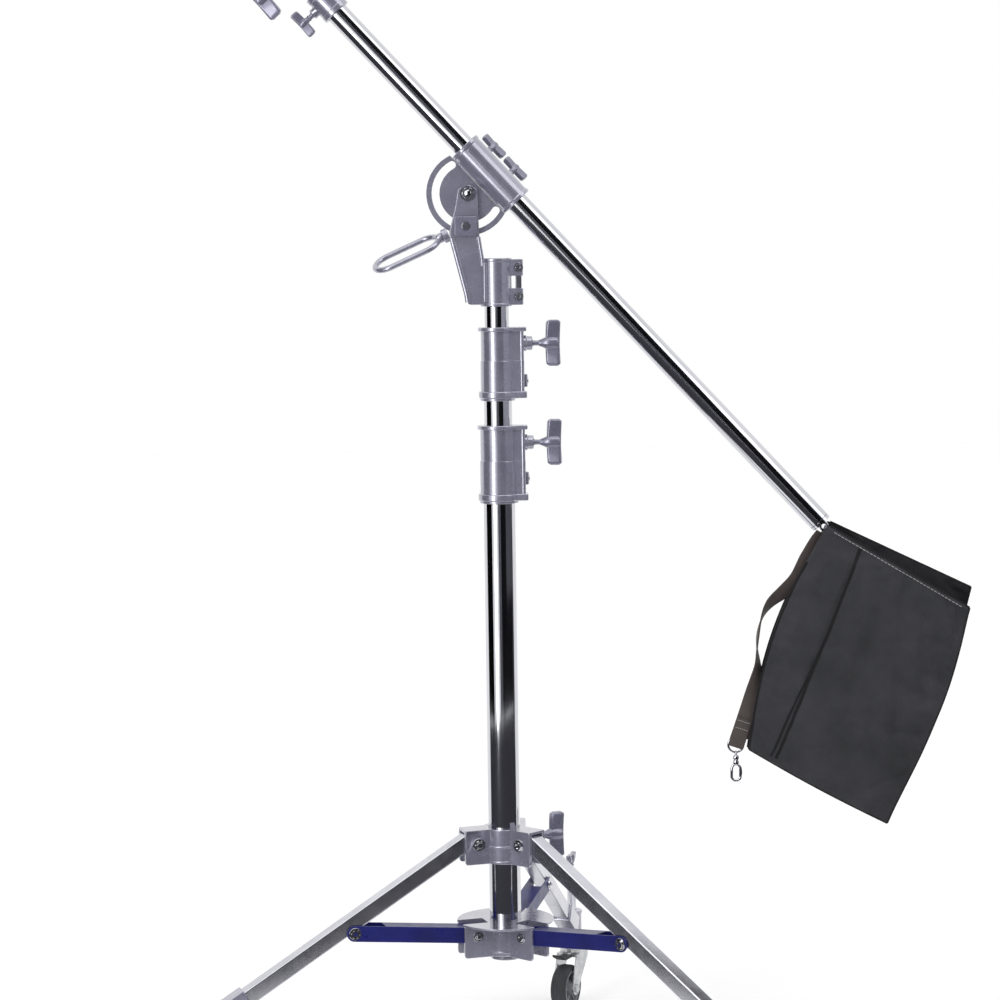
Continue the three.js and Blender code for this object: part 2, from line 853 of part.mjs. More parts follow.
// A collar that holds the tube below it and guides the tube above it
function collarBody(place, tubeBelow, tubeAbove) {
  const barrel = tubeBelow + collar.wall;
  const { height, step, knob: knobZ, screw } = place;
  const plan = nosePlan(barrel, collar.nose, collar.noseHalf);
  const lipPlan = nosePlan(barrel + collar.lip, collar.nose + collar.lipNose, collar.noseHalf + collar.lip);
  const screwX = [collar.nose - bite, collar.nose + collar.screwThick];
  const screwZ = [screw - collar.screwTall / 2, screw + collar.screwTall / 2];
  const screwBox = box(screwX, [-collar.screwHalf, collar.screwHalf], screwZ);
  const body = join(
    slab(plan, [0, height]),
    slab(lipPlan, [height - collar.topLip, height]),
    slab(lipPlan, [0, collar.bottomLip]),
    upright(tubeBelow + collar.ringWall, -collar.ringThick, bite),
    rod(collar.bossRadius, [tubeAbove, 0, knobZ], [collar.bossReach, 0, knobZ]),
    screwBox,
  );
  return cut(
    body,
    upright(tubeBelow + gap, -collar.ringThick - overrun, step + gap),
    upright(tubeAbove + slip, 0, height + overrun),
    rod(knob.shaft + slip, [0, 0, knobZ], [collar.bossReach + overrun, 0, knobZ]),
  );
}

function addCollar(place, tubeBelow, tubeAbove, names) {
  const [bodyName, knobName] = names;
  const at = frame(stand, [0, 0, mast.foot + place.bottom]);
  piece(at, bodyName, collarBody(place, tubeBelow, tubeAbove), casting);
  piece(
    frame(at, [collar.bossReach + gap, 0, place.knob]),
    knobName,
    tKnob(stemToTube(collar.bossReach, tubeAbove)),
    casting,
  );
}

addCollar(lowerCollar, mast.radius, firstRadius, ["lower_collar", "lower_knob"]);
addCollar(upperCollar, firstRadius, secondRadius, ["upper_collar", "upper_knob"]);

const firstTop = mast.foot + upperCollar.bottom + upperCollar.step;
const firstBottom = mast.foot + riser.firstBottom;
piece(
  stand,
  "riser_1",
  cut(
    upright(firstRadius, firstBottom, firstTop),
    upright(firstRadius - mast.wall, firstBottom - overrun, firstTop + overrun),
  ),
  chrome,
);
const secondTop = mast.foot + head.bottom + head.height - head.topThick - gap;
const secondBottom = mast.foot + riser.secondBottom;
piece(
  stand,
  "riser_2",
  cut(
    upright(secondRadius, secondBottom, secondTop),
    upright(secondRadius - mast.topWall, secondBottom - overrun, secondTop + overrun),
  ),
  chrome,
);

// Pivot head, in the stand's frame raised to the foot

const headFrame = frame(stand, [0, 0, mast.foot]);
const armIn = tilt.half + slip;
const armOut = armIn + head.armThick;
const lockBearing = rad(head.lockBearing);
const lockX = head.pivotX + head.lockRadius * cos(lockBearing);
const lockZ = head.pivotZ + head.lockRadius * sin(lockBearing);
const loopBearing = rad(loop.bearing);
const onLoop = (distance) => [lockX + distance * cos(loopBearing), lockZ + distance * sin(loopBearing)];

function yoke() {
  const top = head.bottom + head.height;
  const barrelRadius = secondRadius + slip + head.wall;
  const arm = outline(armOutline.map(([x, z]) => [head.pivotX + x, head.pivotZ + z]));
  const forkX = [head.pivotX - tilt.rim, -barrelRadius + bite];
  const forkSpace = box(forkX, [-armIn, armIn], [head.bridgeTop, head.pivotZ * 2]);
  const arms = cut(plate(arm, [-armOut, armOut]), forkSpace);
  const lowEar = head.bottom + head.earInset;
  const highEar = top - head.earInset - head.earTall;
  const earBoxes = [lowEar, highEar].map((low) =>
    box([0, head.earReach], [-head.earHalf, head.earHalf], [low, low + head.earTall]),
  );
  const [nearX, nearZ] = onLoop(loop.tip + gap);
  const [farX, farZ] = onLoop(loop.root);
  const screwBoss = rod(head.screwBoss, [nearX, 0, nearZ], [farX, 0, farZ]);
  const [pastX, pastZ] = onLoop(loop.root + overrun);
  const [innerX, innerZ] = onLoop(0);
  const rimSpace = across(tilt.rim + bite, head.pivotX, head.pivotZ, [-armIn, armIn], rimSides);
  const clampHoles = clampHeights.map((z) =>
    across(head.clampBolt + gap, clampX, z, [-head.earHalf - overrun, head.earHalf + overrun]),
  );
  const socketZ = [head.bottom - overrun, top - head.topThick];
  return cut(
    join(upright(barrelRadius, head.bottom, top), arms, screwBoss, ...earBoxes),
    rimSpace,
    upright(secondRadius + slip, ...socketZ),
    box([secondRadius, head.earReach + overrun], [-head.slit / 2, head.slit / 2], socketZ),
    across(head.pivotRadius + gap, head.pivotX, head.pivotZ, [-armOut - overrun, armOut + overrun]),
    across(head.lockBolt + gap, lockX, lockZ, [-armOut - overrun, armOut + overrun]),
    rod(loop.shank + slip, [innerX, 0, innerZ], [pastX, 0, pastZ]),
    ...clampHoles,
  );
}

const clampX = head.earReach - head.clampHead - bite;
const clampInset = head.earInset + head.earTall / 2;
const clampHeights = [head.bottom + clampInset, head.bottom + head.height - clampInset];

// Both clamp screws of the socket, joined by the nut bar behind the ears
function socketClamp() {
  const face = head.earHalf + gap;
  const barX = [clampX - head.clampBarHalf, clampX + head.clampBarHalf];
  const barZ = [clampHeights[0] - head.clampHead, clampHeights[1] + head.clampHead];
  const bar = box(barX, [face, face + head.clampBar], barZ);
  const screws = clampHeights.flatMap((z) => [
    across(head.clampBolt, clampX, z, [-face - bite, face + bite]),
    across(head.clampHead, clampX, z, [-face - head.clampThick, -face], hexSides),
  ]);
  return join(bar, ...screws);
}

function lockBlock() {
  const face = armOut + gap;
  const halfWide = head.lockWide / 2;
  const halfTall = head.lockTall / 2;
  const blockFace = -face - head.lockThick;
  const blockZ = [lockZ - halfTall, lockZ + halfTall];
  const block = box([lockX - halfWide, lockX + halfWide], [blockFace, -face], blockZ);
  const socketY = [blockFace - overrun, blockFace + head.lockThick / 2];
  return join(
    cut(block, across(head.lockBolt, lockX, lockZ, socketY, hexSides)),
    across(head.lockBolt, lockX, lockZ, [-face - bite, face + bite]),
    across(head.nutRadius, lockX, lockZ, [face, face + head.nutThick], hexSides),
  );
}

function loopHandle() {
  const ring = longRing(loop.root + loop.collar, loop.length - 2 * loop.wire, loop.width - 2 * loop.wire);
  return join(
    lengthwise(loop.shank, loop.tip, loop.root + loop.collar + bite, rodSides),
    lengthwise(loop.collar, loop.root + gap, loop.root + loop.collar + loop.wire / 2, rodSides),
    closedWire(ring, loop.wire, loopSteps),
  );
}

piece(headFrame, "head_yoke", yoke(), casting);
piece(headFrame, "socket_clamp", socketClamp(), chrome);
piece(
  headFrame,
  "pivot_bolt",
  crossBolt(head.pivotRadius, head.nutRadius, head.nutThick, armOut, head.pivotX, head.pivotZ),
  chrome,
);
piece(headFrame, "lock_block", lockBlock(), casting);
const loopFrame = frame(headFrame, [lockX, 0, lockZ], [0, -loopBearing, 0]);
piece(frame(loopFrame, [0, 0, 0], [rad(loop.turn), 0, 0]), "loop_handle", loopHandle(), casting);

// Boom, in a frame at the pivot with +X along the boom toward the tail and +Z toward the boom

const boomPivot = frame(headFrame, [head.pivotX, 0, head.pivotZ], [0, rad(boom.angle), 0]);
const boomFrame = frame(boomPivot, [0, 0, boom.offset]);

function tiltPlate() {
  const top = boom.offset - boom.radius - boom.sleeveWall - slip - gap;
  const cornerAngle = asin(top / tilt.rim);
  const shape = new THREE.Shape();
  shape.absarc(0, 0, tilt.rim, PI - cornerAngle, 2 * PI + cornerAngle, false);
  const start = rad(tilt.slotStart);
  const end = rad(tilt.slotEnd);
  const middle = (tilt.slotOuter + tilt.slotInner) / 2;
  const halfSlot = (tilt.slotOuter - tilt.slotInner) / 2;
  const slot = new THREE.Path();
  slot.absarc(0, 0, tilt.slotOuter, start, end, false);
  slot.absarc(middle * cos(end), middle * sin(end), halfSlot, end, end + PI, false);
  slot.absarc(0, 0, tilt.slotInner, end, start, true);
  slot.absarc(middle * cos(start), middle * sin(start), halfSlot, start + PI, start + 2 * PI, false);
  shape.holes.push(slot);
  return cut(
    plate(shape, [-tilt.half, tilt.half], rimSteps),
    across(head.pivotRadius + slip, 0, 0, [-tilt.half - overrun, tilt.half + overrun]),
  );
}

const sleeveRadius = boom.radius + slip + boom.sleeveWall;
const bossTurn = rad(boom.bossTurn);
const bossWay = [0, sin(bossTurn), cos(bossTurn)];
const bossPoint = (x, reach) => [x, bossWay[1] * reach, bossWay[2] * reach];

function boomSleeve() {
  const lipAt = (start) => lengthwise(sleeveRadius + boom.lip, start, start + boom.lipWide);
  const places = [boom.firstBoss, boom.secondBoss];
  const { radius, bossRadius, bossReach } = boom;
  const bosses = places.map((x) => rod(bossRadius, bossPoint(x, radius), bossPoint(x, bossReach)));
  const holes = places.map((x) => rod(knob.shaft + slip, bossPoint(x, 0), bossPoint(x, bossReach + overrun)));
  const underX = [boom.sleeveStart - overrun, boom.sleeveEnd + overrun];
  const under = box(underX, [-sleeveRadius * 2, sleeveRadius * 2], [-sleeveRadius * 2, -sleeveRadius]);
  return cut(
    join(
      lengthwise(sleeveRadius, boom.sleeveStart, boom.sleeveEnd),
      lipAt(boom.sleeveStart),
      lipAt(boom.sleeveEnd - boom.lipWide),
      ...bosses,
    ),
    under,
    lengthwise(radius + slip, boom.sleeveStart - overrun, boom.sleeveEnd + overrun),
    ...holes,
  );
}

function boomRing() {
  const { start, length, wall, bossReach, knobAt } = boomCollar;
  const outer = boom.radius + gap + wall;
  return cut(
    join(
      lengthwise(outer, start, start + length),
      rod(boom.bossRadius, [knobAt, 0, 0], [knobAt, 0, -bossReach]),
    ),
    lengthwise(boom.radius + gap, boom.headEnd - gap, start + length + overrun),
    lengthwise(extensionRadius + slip, start - overrun, boom.headEnd),
    rod(knob.shaft + slip, [knobAt, 0, 0], [knobAt, 0, -bossReach - overrun]),
  );
}

piece(boomPivot, "tilt_plate", tiltPlate(), casting);
piece(boomFrame, "boom_sleeve", boomSleeve(), casting);
const sleeveKnobNames = ["sleeve_knob_front", "sleeve_knob_rear"];
[boom.firstBoss, boom.secondBoss].forEach((x, index) => {
  const face = bossPoint(x, boom.bossReach + gap);
  const turnToBoss = frame(boomFrame, face, [-bossTurn, 0, 0]);
  piece(
    frame(turnToBoss, [0, 0, 0], [0, -PI / 2, 0]),
    sleeveKnobNames[index],
    tKnob(stemToTube(boom.bossReach, boom.radius), smallKnobShare),
    casting,
  );
});

piece(
  boomFrame,
  "boom_tube",
  cut(
    lengthwise(boom.radius, boom.headEnd, boom.tailEnd),
    lengthwise(boom.radius - boom.wall, boom.headEnd - overrun, boom.tailEnd + overrun),
    rod(knob.shaft + slip, [boomCollar.knobAt, 0, 0], [boomCollar.knobAt, 0, -boom.radius - overrun]),
  ),
  chrome,
);
piece(boomFrame, "boom_collar", boomRing(), casting);
piece(
  frame(boomFrame, [boomCollar.knobAt, 0, -boomCollar.bossReach - gap], [0, PI / 2, 0]),
  "boom_collar_knob",
  tKnob(stemToTube(boomCollar.bossReach, extensionRadius), smallKnobShare),
  casting,
);
piece(
  boomFrame,
  "boom_extension",
  cut(
    lengthwise(extensionRadius, extension.start, extension.end),
    lengthwise(extensionRadius - extension.wall, extension.start - overrun, extension.end + overrun),
  ),
  chrome,
);

// Tail cap with the ring that the bag hangs from
const ringX = boom.tailEnd + tail.thick + tail.ring - tail.wire;
function tailRing() {
  const circle = new THREE.Path();
  circle.absarc(ringX, 0, tail.ring - tail.wire, 0, 2 * PI, false);
  return join(
    lengthwise(boom.radius - boom.wall - gap, boom.tailEnd - tail.plug, boom.tailEnd + gap + bite),
    lengthwise(boom.radius, boom.tailEnd + gap, boom.tailEnd + tail.thick),
    closedWire(circle, tail.wire, smallLoopSteps),
  );
}
piece(boomFrame, "end_hook", tailRing(), chrome);

// Grip head

function gripBody() {
  const { start, length, wall, screwAt, faceAt, bossReach } = grip;
  const outer = extensionRadius + gap + wall;
  const end = start + length;
  return cut(
    join(
      lengthwise(outer, start - grip.neckWide, end),
      rod(outer, [screwAt, 0, 0], [screwAt, 0, faceAt], tubeSides),
      rod(grip.discRadius, [screwAt, 0, faceAt - grip.studRadius], [screwAt, 0, faceAt], tubeSides),
      rod(boom.bossRadius, [screwAt, 0, 0], [screwAt, 0, -bossReach]),
    ),
    lengthwise(extensionRadius + gap, extension.start - gap, end + overrun),
    rod(knob.shaft + slip, [screwAt, 0, -bossReach - overrun], [screwAt, 0, faceAt + overrun]),
  );
}

function gripDisc() {
  const { discRadius, discThick, capRadius, capThick, studRadius, studLength, studNeck, neckWide } = grip;
  const studZ = discThick / 2;
  const studStart = studRadius - discRadius;
  const studEnd = -discRadius - studLength;
  const neckEnd = studEnd + neckWide * 2;
  const stud = join(
    rod(studRadius, [studStart, 0, studZ], [neckEnd, 0, studZ], tubeSides),
    rod(studNeck, [neckEnd + bite, 0, studZ], [neckEnd - neckWide - bite, 0, studZ], tubeSides),
    rod(studRadius, [neckEnd - neckWide, 0, studZ], [studEnd, 0, studZ], tubeSides),
  );
  return join(
    upright(discRadius, 0, discThick),
    upright(capRadius, discThick - bite, discThick + capThick, hexSides),
    stud,
  );
}

piece(boomFrame, "head_body", gripBody(), casting);
piece(frame(boomFrame, [grip.screwAt, 0, grip.faceAt + gap]), "head_disc", gripDisc(), casting);
piece(
  frame(boomFrame, [grip.screwAt, 0, -grip.bossReach - gap], [0, PI / 2, 0]),
  "head_knob",
  tKnob(grip.bossReach + grip.faceAt - bite),
  casting,
);

// Saddle bag, strap and snap hook, in an upright frame at the end of the boom

const boomWay = [cos(rad(boom.angle)), -sin(rad(boom.angle))];
const boomUp = [sin(rad(boom.angle)), cos(rad(boom.angle))];
const ringPlace = [0, 1].map((i) => boomUp[i] * boom.offset + boomWay[i] * ringX);
const bagFrame = frame(headFrame, [head.pivotX + ringPlace[0], 0, head.pivotZ + ringPlace[1]]);
const lean = rad(bag.lean);
const fall = rad(bag.fall);

// A place on the bag, from its upper corner at the ring: along its short edge and down its long edge
function onBag(wide, down) {
  return [
    bag.startX + wide * cos(fall) - down * sin(lean),
    bag.startZ - wide * sin(fall) - down * cos(lean),
  ];
}

// A place beside the long edge that carries the webbing
function besideBag(down, out) {
  const [x, z] = onBag(0, down);
  return [x - out * cos(lean), z + out * sin(lean)];
}

// Full at the middle and drawn in toward both faces
function saddleBag() {
  const { width, height, corner } = bag;
  const edge = (margin) => [
    onBag(margin, margin + corner),
    onBag(margin, height - margin - corner),
    onBag(margin + corner, height - margin),
    onBag(width - margin - corner, height - margin),
    onBag(width - margin, height - margin - corner),
    onBag(width - margin, margin + corner),
    onBag(width - margin - corner, margin),
    onBag(margin + corner, margin),
  ];
  const drawnIn = bag.half - bag.rimHalf;
  const layers = [
    [-bag.half, drawnIn * 2],
    [-bag.rimHalf, 0],
    [bag.rimHalf, 0],
    [bag.half, drawnIn * 2],
  ];
  const body = stack(layers.map(([y, margin]) => edge(margin).map(([x, z]) => [x, y, z])));
  return cut(body, across(tail.ring + slip, 0, 0, [-bag.half * 2, bag.half * 2], tubeSides));
}

// From the ring down past the hand gap, round the snap hook's eye and back to the foot of the bag's edge
function strapBody() {
  const middle = strapLine.map(([down, out]) => new THREE.Vector2(...besideBag(down, out)));
  const curve = new THREE.SplineCurve(middle);
  const steps = strapSteps * (strapLine.length - 1);
  const sides = [-1, 1].map((way) => {
    const edge = [];
    for (let i = 0; i <= steps; i += 1) {
      const point = curve.getPoint(i / steps);
      const tangent = curve.getTangent(i / steps);
      const shift = (way * strap.thick) / 2;
      edge.push([point.x - tangent.y * shift, point.y + tangent.x * shift]);
    }
    return edge;
  });
  return plate(outline([...sides[0], ...sides[1].reverse()]), [-strap.half, strap.half]);
}

// A wide eye over a swivel body and a long sprung loop
function snapHook() {
  const { eyeWire, eyeHalf, eyeDrop, eyeFoot, bodyRadius, bodyTop, bodyEnd } = snap;
  const bar = rod(eyeWire, [0, -eyeHalf - eyeWire, 0], [0, eyeHalf + eyeWire, 0]);
  const sides = [-eyeHalf, eyeHalf].flatMap((y) => [
    rod(eyeWire, [0, y, 0], [0, y, -eyeDrop - eyeWire / 2]),
    rod(eyeWire, [0, y, -eyeDrop], [0, 0, -eyeFoot]),
  ]);
  const body = upright(bodyRadius, -bodyEnd, -bodyTop, rodSides);
  const ring = longRing(-snap.loopTall / 2, snap.loopTall, snap.loopWide);
  const hookLoop = closedWire(ring, snap.wire, smallLoopSteps)
    .rotateY(PI / 2)
    .translate(0, 0, -bodyEnd - snap.loopTall / 2);
  return join(bar, body, ...sides, hookLoop);
}

piece(bagFrame, "sandbag", saddleBag(), nylon);
piece(bagFrame, "strap", strapBody(), webbing);
const [hookX, hookZ] = besideBag(snap.down, snap.out);
piece(frame(bagFrame, [hookX, 0, hookZ]), "snap_hook", snapHook(), chrome);

// The part's own origin lies under the middle of everything, on the floor

const bounds = new THREE.Box3().setFromObject(stand, true);
const part = new THREE.Group();
stand.position.set(-(bounds.min.x + bounds.max.x) / 2, -(bounds.min.y + bounds.max.y) / 2, -bounds.min.z);
part.add(stand);

export default part;
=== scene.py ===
"""Overhead boom arm stand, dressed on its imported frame.

Lengths are millimetres. Those of the camera, materials, modifiers and studio are metres.
"""

import math

import bmesh
import bpy
import numpy as np
from mathutils import Matrix, Vector
from mathutils.bvhtree import BVHTree


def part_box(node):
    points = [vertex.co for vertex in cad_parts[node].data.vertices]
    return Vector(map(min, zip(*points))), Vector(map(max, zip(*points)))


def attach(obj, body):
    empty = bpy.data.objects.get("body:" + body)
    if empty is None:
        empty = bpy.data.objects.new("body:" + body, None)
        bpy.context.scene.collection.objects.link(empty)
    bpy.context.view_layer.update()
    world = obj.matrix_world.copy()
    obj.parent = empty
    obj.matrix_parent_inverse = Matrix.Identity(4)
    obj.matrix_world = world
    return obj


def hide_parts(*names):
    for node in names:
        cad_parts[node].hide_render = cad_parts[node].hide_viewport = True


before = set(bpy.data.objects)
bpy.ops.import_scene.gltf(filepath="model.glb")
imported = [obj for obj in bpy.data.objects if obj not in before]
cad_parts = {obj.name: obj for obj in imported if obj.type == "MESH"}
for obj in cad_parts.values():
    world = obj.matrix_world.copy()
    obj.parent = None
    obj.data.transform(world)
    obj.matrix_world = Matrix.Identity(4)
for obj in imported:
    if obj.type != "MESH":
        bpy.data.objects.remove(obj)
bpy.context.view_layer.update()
PI = math.pi
rad = math.radians


# Camera

CAMERA_PLACE = (-0.10812, -4.54977, 1.3463)
CAMERA_LENS = 103.525
CAMERA_DOWN, CAMERA_ROLL = 0.0898, -0.0147


def link(name, data):
    """A new object in the scene."""
    made = bpy.data.objects.new(name, data)
    bpy.context.scene.collection.objects.link(made)
    return made


def aim_camera():
    data = bpy.data.cameras.new("camera")
    data.lens = CAMERA_LENS
    data.sensor_width = 36
    data.clip_end = 60
    camera = link("camera", data)
    camera.matrix_world = at(Matrix.Identity(4), CAMERA_PLACE, (PI / 2 - CAMERA_DOWN, 0, CAMERA_ROLL))
    bpy.context.scene.camera = camera


# Frames, in millimetres. Heights are above the frame they belong to


def at(parent, place=(0, 0, 0), turn=(0, 0, 0)):
    """A frame at a place in its parent, turned about X, Y and Z."""
    spin = Matrix.Identity(4)
    for angle, axis in zip(turn, "XYZ"):
        spin = spin @ Matrix.Rotation(angle, 4, axis)
    return parent @ Matrix.Translation(place) @ spin


BASE_UP = 212
LEG_HUB_UP = 156
PIVOT = (-41.7, 0, 1208.6)
BOOM_TILT = rad(47.2)
BOOM_UP = 45.5
BAG_PLACE = (508.5, 0, 681.4)
REACH = 500

low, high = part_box("base_tube")
STAND = Matrix.Translation(((low.x + high.x) * 500, (low.y + high.y) * 500, 0))
FOOT = at(STAND, (0, 0, BASE_UP))
BOOM = at(at(FOOT, PIVOT, (0, BOOM_TILT, 0)), (0, 0, BOOM_UP))
BAG = at(FOOT, BAG_PLACE)
AZIMUTH = {"left": rad(197.5), "right": rad(-42.5), "back": rad(76.5)}


def radial(side):
    """A leg's frame on the floor, with X pointing out along it."""
    return at(STAND, turn=(0, 0, AZIMUTH[side]))


# Shapes: each is (vertices, faces), closed, with its faces turned either way

ALONG = Matrix.Rotation(PI / 2, 4, "Y")
FRONT, BACK = Matrix.Rotation(PI / 2, 4, "X"), Matrix.Rotation(-PI / 2, 4, "X")


def moved(shape, matrix):
    points, faces = shape
    return [matrix @ Vector(p) for p in points], faces


def shift(shape, x=0, y=0, z=0):
    return moved(shape, Matrix.Translation((x, y, z)))


def lay_x(shape):
    """Turns a shape along Z so that it lies along X."""
    return moved(shape, ALONG)


def lay_y(shape):
    """Turns a shape along Z so that it lies along Y."""
    return moved(shape, BACK)


def between(shape, start, end):
    """Turns a shape along Z so that it starts at one point and heads for another."""
    way = (Vector(end) - Vector(start)).normalized()
    turn = way.to_track_quat("Z", "Y").to_matrix().to_4x4()
    return moved(shape, Matrix.Translation(start) @ turn)


def turned(profile, sides, ring=False):
    """A profile of (radius, z) turned about Z, closed on itself where it is a ring."""
    points, rings, faces = [], [], []
    for r, z in profile:
        ends = [(0, 0)] if r < 1e-6 else circle(r, sides)
        rings.append(range(len(points), len(points) + len(ends)))
        points += [(x, y, z) for x, y in ends]
    for a, b in zip(rings, rings[1:] + rings[:1] if ring else rings[1:]):
        for i in range(sides):
            j = (i + 1) % sides
            face = dict.fromkeys((a[i % len(a)], a[j % len(a)], b[j % len(b)], b[i % len(b)]))
            if len(face) > 2:
                faces.append(tuple(face))
    return points, faces


def quarter(steps=3):
    """Places on a rounded rim, as shares of its size inward and upward."""
    return [(1 - math.sin(a), 1 - math.cos(a)) for a in (PI / 2 * i / steps for i in range(steps + 1))]


def bar(radius, low, high, edge, sides):
    """A round bar along Z with rounded ends."""
    profile = [(0, low)] + [(radius - edge * a, low + edge * b) for a, b in quarter()]
    profile += [(radius - edge * a, high - edge * b) for a, b in reversed(quarter())] + [(0, high)]
    return turned(profile, sides)


def pipe(radius, inner, low, high, edge=0.6, sides=72):
    """A tube along Z with its outer rims broken."""
    profile = [(inner, low), (radius - edge, low), (radius, low + edge)]
    profile += [(radius, high - edge), (radius - edge, high), (inner, high)]
    return turned(profile, sides, ring=True)


def inset(points, depth):
    """An outline drawn in by a depth along its mitres."""
    count = len(points)
    area = sum(points[i - 1][0] * points[i][1] - points[i][0] * points[i - 1][1] for i in range(count))
    sign = 1 if area > 0 else -1
    drawn = []
    for i in range(count):
        here = Vector(points[i])
        before = (here - Vector(points[i - 1])).normalized()
        after = (Vector(points[(i + 1) % count]) - here).normalized()
        normal = Vector((-before.y - after.y, before.x + after.x)) * sign
        if normal.length < 1e-6:
            normal = Vector((-before.y, before.x)) * sign
        normal.normalize()
        side = Vector((-before.y, before.x)) * sign
        drawn.append(here + normal * depth / max(0.5, normal.dot(side)))
    return [tuple(p) for p in drawn]


def loft(rings, closed=False):
    """Rings of points joined one to the next, closed on themselves or filled at both ends."""
    size, count = len(rings[0]), len(rings)
    points = [p for ring in rings for p in ring]
    faces = [] if closed else [tuple(range(size)), tuple(range(size * (count - 1), size * count))]
    for k in range(count if closed else count - 1):
        a, b = k * size, (k + 1) % count * size
        faces += [(a + i, a + (i + 1) % size, b + (i + 1) % size, b + i) for i in range(size)]
    return points, faces


def slab(points, z, edge, steps=2):
    """An outline in XY with height along Z and rounded rims."""
    levels = [(edge * a, z[0] + edge * b) for a, b in quarter(steps)]
    levels += [(edge * a, z[1] - edge * b) for a, b in reversed(quarter(steps))]
    return loft([[(x, y, h) for x, y in (inset(points, d) if d > 1e-9 else points)] for d, h in levels])


def plate(points, y, edge, steps=2):
    """An outline in XZ with depth along Y."""
    return moved(slab(points, (-y[1], -y[0]), edge, steps), FRONT)


def arc(x, y, radius, start, end, steps):
    """Points on an arc, angles in degrees."""
    turns = [rad(start + (end - start) * i / steps) for i in range(steps + 1)]
    return [(x + radius * math.cos(a), y + radius * math.sin(a)) for a in turns]


def rounded(x, y, radius, steps):
    """A rectangle with rounded corners."""
    inward = (radius, -radius)
    points = []
    for k, (i, j) in enumerate(((1, 0), (1, 1), (0, 1), (0, 0))):
        points += arc(x[i] + inward[i], y[j] + inward[j], radius, 90 * k - 90, 90 * k, steps)
    return points


def block(x, y, z, edge, corner=None):
    """A box with rounded upright edges and rims."""
    return slab(rounded(x, y, corner or edge, 3), z, edge)


def sweep(path, section, closed=False, side=None):
    """A section of (across, up) points carried along a path. Side fixes the across way."""
    path = [Vector(p) for p in path]
    ends = path[-1:] + path + path[:1] if closed else path[:1] + path + path[-1:]
    ways = [(after - before).normalized() for before, after in zip(ends, ends[2:])]
    across = Vector(side) if side else ways[0].orthogonal().normalized()
    rings = []
    for point, way in zip(path, ways):
        across = (across - way * across.dot(way)).normalized()
        upward = way.cross(across)
        rings.append([tuple(point + across * a + upward * b) for a, b in section])
    return loft(rings, closed)


def circle(radius, sides):
    turns = [2 * PI * i / sides for i in range(sides)]
    return [(radius * math.cos(a), radius * math.sin(a)) for a in turns]


def soften(points, size, only=None):
    """An outline with its corners rounded, or only those of the given indexes."""
    smooth = []
    for i, place in enumerate(points):
        if only is not None and i not in only:
            smooth.append(tuple(place))
            continue
        here = Vector(place)
        before = Vector(points[i - 1]) - here
        after = Vector(points[(i + 1) % len(points)]) - here
        reach = min(size, before.length * 0.45, after.length * 0.45)
        start, end = here + before.normalized() * reach, here + after.normalized() * reach
        for t in (0, 0.25, 0.5, 0.75, 1):
            smooth.append(tuple(start * (1 - t) ** 2 + here * (2 * t * (1 - t)) + end * t * t))
    return smooth


def drill(radius, low, high, sides):
    """A plain round tool along Z."""
    return turned([(0, low), (radius, low), (radius, high), (0, high)], sides)


def bore(radius, half, sides, x=0, z=0):
    """A plain round tool along Y."""
    return shift(lay_y(drill(radius, -half, half, sides)), x, 0, z)


def box_tool(x, y, z):
    """A plain box."""
    points = [(a, b, c) for c in z for a, b in ((x[0], y[0]), (x[1], y[0]), (x[1], y[1]), (x[0], y[1]))]
    return points, [(0, 3, 2, 1), (4, 5, 6, 7), (0, 1, 5, 4), (1, 2, 6, 5), (2, 3, 7, 6), (3, 0, 4, 7)]


def head_ring(radius, z, flats, most=math.inf):
    """One ring of a bolt's head, hexagonal where it has flats, and at most so far out."""
    ring = []
    for x, y in circle(1, 60):
        turn = math.atan2(y, x) % (PI / 3) - PI / 6
        reach = min(radius * math.cos(PI / 6) / math.cos(turn) if flats else radius, most)
        ring.append((reach * x, reach * y, z))
    return ring


def bolt_head(radius, low, high, flats=True, socket=0.0):
    """A head along Z with its top corners turned off, and a hexagonal socket or a shallow cup."""
    rings = [(radius, low, flats), (radius, high - 0.17 * radius, flats)]
    rings += [(radius, high - 0.07 * radius, flats, radius * 0.95), (radius, high, flats, radius * 0.85)]
    if socket:
        floor = high - min(4, (high - low) * 0.75)
        rings += [(socket * 1.1, high, True), (socket, high - 0.4, True), (socket, floor, True)]
    else:
        rings += [(radius * 0.62, high, False), (radius * 0.54, high - 0.5, False)]
    return loft([head_ring(*ring) for ring in rings])


def cross_bolt(half, radius, thick, shaft, socket=0.0, washer=2.2):
    """A bolt across Y with washers, its head in front and its nut behind."""
    face = half + 0.3
    ring = pipe(radius + washer, shaft - 0.4, face, face + 1.3, 0.4, 48)
    tail = bar(shaft, face + thick - 1, face + thick + 2.2, 0.7, 24)
    return [
        bore(shaft, face + 0.6, 32),
        moved(ring, FRONT),
        moved(ring, BACK),
        moved(tail, BACK),
        moved(bolt_head(radius, face + 1.2, face + thick, True, socket), FRONT),
        moved(bolt_head(radius, face + 1.2, face + thick), BACK),
    ]


def spline(points, steps):
    """A smooth path through points in space."""
    points = [Vector(p) for p in points]
    ends = [points[0] * 2 - points[1]] + points + [points[-1] * 2 - points[-2]]
    path = []
    for a, b, c, d in zip(ends, ends[1:], ends[2:], ends[3:]):
        for i in range(steps):
            t = i / steps
            curve = (a * 2 - b * 5 + c * 4 - d) * t * t + (b * 3 - a - c * 3 + d) * t**3
            path.append((b * 2 + (c - a) * t + curve) / 2)
    return path + [points[-1]]


# Making pieces

TO_METRES = Matrix.Scale(0.001, 4)


